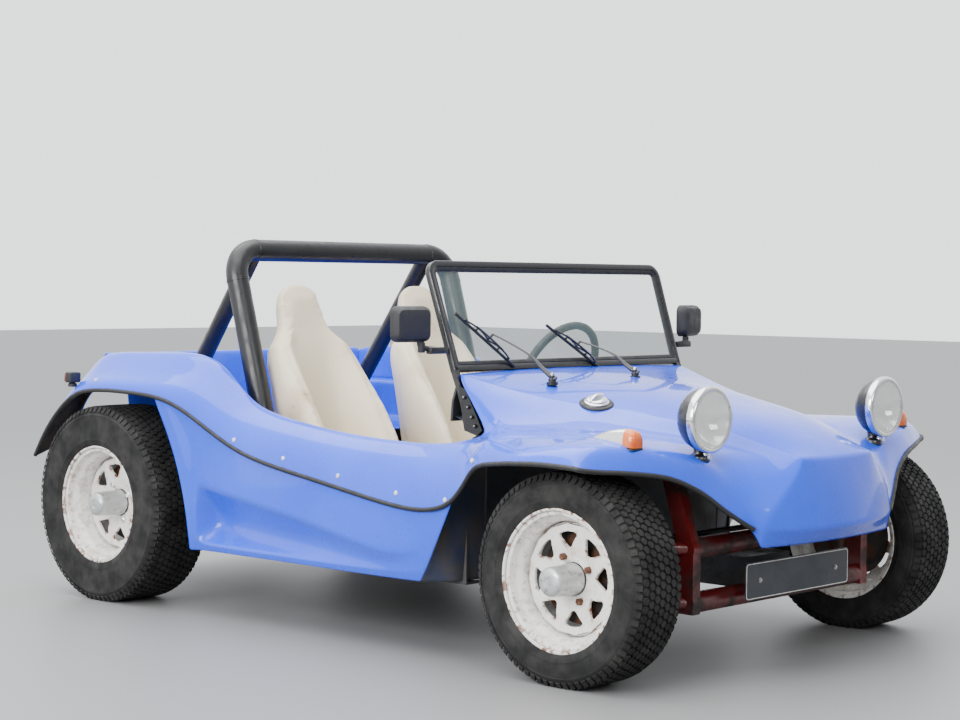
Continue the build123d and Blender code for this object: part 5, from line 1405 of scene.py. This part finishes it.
column_mesh = bmesh.new()
add_tube(column_mesh, [on_column(1085), on_column(60)], 19, sides=24)
add_tube(column_mesh, [on_column(down) for down in (330, 320, 100, 62)], [20, 31, 34, 30], sides=24)
add_tube(column_mesh, [on_column(110), on_column(100, 128, 20)], [5, 4], sides=10)
add_turned(column_mesh, on_column(100, 124, 20), -ACROSS, [(0, 0), (0, 7), (16, 8), (20, 5), (20, 0)], 16)
piece("steering_column_tube", column_mesh, [black_enamel], replaces=("steering_column",))

# %% [markdown]
# ## Running gear
# The front beam, the axle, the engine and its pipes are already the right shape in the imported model, so those
# nodes stay and take a better finish: old red enamel with grime in it, cast alloy, bare and rusty steel.

# %% Finishes of the running gear
beam_red = worn("beam_red_worn", (0.1, 0.007, 0.008), 0.42, grain=((120.0, 5.0, 0.4, 0.7), 0.5, 0.7),
                Coat_Weight=0.15)
red_grime = cloud(beam_red, 14.0, 7.0, 0.45, 0.68)
red_tone = blend(beam_red, cloud(beam_red, 6.0), (0.075, 0.005, 0.006), (0.13, 0.009, 0.009))
drive(beam_red, "Base Color", blend(beam_red, red_grime, red_tone, (0.02, 0.011, 0.009)))
drive(beam_red, "Roughness", between(beam_red, red_grime, 0.3, 0.8))

cast_alloy = worn("cast_alloy", (0.34, 0.33, 0.31), 0.55, 0.75, gloss=(None, 0.42, 0.82),
                  tones=((12.0, 7.0, 0.42, 0.68), (0.36, 0.35, 0.33), (0.08, 0.065, 0.05)),
                  grain=((380.0, 4.0), 0.4, 0.8))
road_steel = worn("road_steel", (0.09, 0.075, 0.065), 0.6, 0.55, gloss=(None, 0.42, 0.85),
                  tones=((22.0, 7.0, 0.45, 0.65), (0.05, 0.047, 0.045), (0.15, 0.062, 0.03)),
                  grain=((200.0, 5.0), 0.4, 0.8))
exhaust_steel = worn("exhaust_steel_hot", (0.3, 0.28, 0.26), 0.42, 0.9, gloss=(None, 0.3, 0.8),
                     tones=((8.0, 7.0, 0.4, 0.68), (0.3, 0.29, 0.27), (0.13, 0.055, 0.03)))
floor_steel = worn("floor_enamel", (0.016, 0.02, 0.032), 0.5, gloss=(None, 0.4, 0.85),
                   tones=((7.0, 7.0, 0.42, 0.7), (0.013, 0.017, 0.028), (0.06, 0.052, 0.043)),
                   grain=((160.0, 5.0), 0.4, 0.6))
fan_enamel = worn("fan_enamel", (0.013, 0.013, 0.014), 0.38, Coat_Weight=0.2, grain=((240.0, 4.0), 0.3, 0.6),
                  tones=((10.0, 6.0, 0.5, 0.75), (0.012, 0.012, 0.013), (0.06, 0.052, 0.042)))

# %% Finishes onto the nodes
NODE_FINISHES = {"front_beam": beam_red, "knuckle_left": road_steel, "knuckle_right": road_steel,
                 "track_rod": road_steel, "rear_axle": road_steel, "engine": cast_alloy, "fan_housing": fan_enamel,
                 "exhaust": exhaust_steel, "floor_tub": floor_steel, "dashboard": black_plastic}
for name, paint in NODE_FINISHES.items():
    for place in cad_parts[name].material_slots:
        place.material = paint
print("finishes on", len(NODE_FINISHES), "nodes")

# %% [markdown]
# ## Under the dashboard and round the engine
# A dark tray closes the space between the dashboard and the footwell. The flat engine stands open behind the
# well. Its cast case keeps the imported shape; these pieces add what lies on it: the fan belt round its pulleys,
# the coil, the air filter, the plug caps, the oil filler and the clamps of the exhaust. Each is a turned or
# swept form placed from the node it sits on.

# %% Under the dashboard
# A dark tray closes the space from the dashboard's lower edge to the top of the footwell.
TRAY_HALF, TRAY_WALL = 552, 3
# behind, up
TRAY = [(602, 692), (560, 676), (500, 640), (470, 612), (456, 598)]
tray_mesh = bmesh.new()
add_rings(tray_mesh, [[spot(across, behind, up) for across in (-TRAY_HALF, -300, 0, 300, TRAY_HALF)]
                      for behind, up in TRAY], closed=False)
walled(piece("under_tray", tray_mesh, [floor_steel]), TRAY_WALL)

# %% Where the engine ends
FAN_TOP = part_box("fan_housing")[1].z / MM
FAN_BACK = (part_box("fan_housing")[1].y - FRONT_AXLE_Y) / MM
ENGINE_BACK = (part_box("engine")[1].y - FRONT_AXLE_Y) / MM
print("engine reaches", round(ENGINE_BACK), "mm behind, fan housing", round(FAN_TOP), "mm up")

# %% Pulleys and belt
dress_mesh = bmesh.new()
# The pulleys stand over each other on the centreline: up, radius, and the angle where the belt meets each.
PULLEYS = [(300, 62, pi), (462, 50, 0)]
PULLEY_FACE, BELT_SINK, BELT_STEPS = ENGINE_BACK + 14, 5, 24
belt = []
for up, radius, begin in PULLEYS:
    add_turned(dress_mesh, spot(0, PULLEY_FACE, up), BEHIND,
               [(-14, radius - 22), (-13, radius), (-9, radius), (-4, radius - 9), (4, radius - 9), (9, radius),
                (13, radius), (14, radius - 4), (10, radius - 10), (4, radius - 16), (4, 22), (16, 20), (16, 0)], 48,
               paint=1)
    for t in (begin + pi * k / BELT_STEPS for k in range(BELT_STEPS + 1)):
        belt.append(spot(cos(t) * (radius - BELT_SINK), PULLEY_FACE, up + sin(t) * (radius - BELT_SINK)))
add_swept(dress_mesh, belt, [(-4, -5), (-4, 5), (4, 3), (4, -3)], BEHIND, closed=True, paint=2)

# %% Fins, caps and fillers
# fins of the cylinder banks and a cap over each plug
FINS, FIN_START, FIN_PITCH, FIN_HALF = 9, 150, 21, 2
PLUG_ROWS = (2196, 2322)
for side, _ in SIDES:
    for number in range(FINS):
        across = side * (FIN_START + number * FIN_PITCH)
        add_block(dress_mesh, (across - FIN_HALF, 2160, 246), (across + FIN_HALF, 2352, 392), 1.2)
    for row in PLUG_ROWS:
        add_turned(dress_mesh, spot(side * 300, row, 366), UP, [(0, 7), (26, 8.5), (30, 6), (30, 0)], 14, paint=2)
# coil, distributor and oil filler: across, behind the fan housing, up, axis, finish, profile
for across, back, up, axis, paint, profile in (
        (-150, 24, 452, ACROSS, 1, [(-52, 0), (-52, 26), (40, 27), (44, 22), (52, 12), (58, 8), (58, 0)]),
        (70, 18, 396, UP, 2, [(-20, 22), (0, 24), (4, 30), (26, 28), (34, 16), (36, 0)]),
        (150, 20, 404, UP, 2, [(-30, 17), (40, 17), (42, 26), (54, 26), (57, 22), (57, 0)])):
    add_turned(dress_mesh, spot(across, FAN_BACK + back, up), axis, profile, 28, paint=paint)
piece("engine_dress", dress_mesh, [cast_alloy, road_steel, rubber])

# %% Air filter
filter_mesh = bmesh.new()
add_turned(filter_mesh, spot(0, 2236, FAN_TOP - 6), UP,
           [(0, 28), (6, 34), (8, 78), (12, 86), (16, 88), (44, 88), (48, 86), (52, 80), (54, 60), (54, 14), (58, 12),
            (60, 6), (60, 0)], 56)
piece("air_filter_can", filter_mesh, [fan_enamel])

# %% Clamps of the silencer
SILENCER_BEHIND, SILENCER_UP = 2438, 250
clamp_mesh = bmesh.new()
for across in (-296, -136, 136, 296):
    add_turned(clamp_mesh, spot(across, SILENCER_BEHIND, SILENCER_UP), ACROSS,
               [(-9, 58), (-8, 60.5), (8, 60.5), (9, 58)], 48)
    add_tube(clamp_mesh, [spot(across, SILENCER_BEHIND, SILENCER_UP + rise) for rise in (62, 76)], 4, sides=6)
piece("silencer_bands", clamp_mesh, [road_steel])
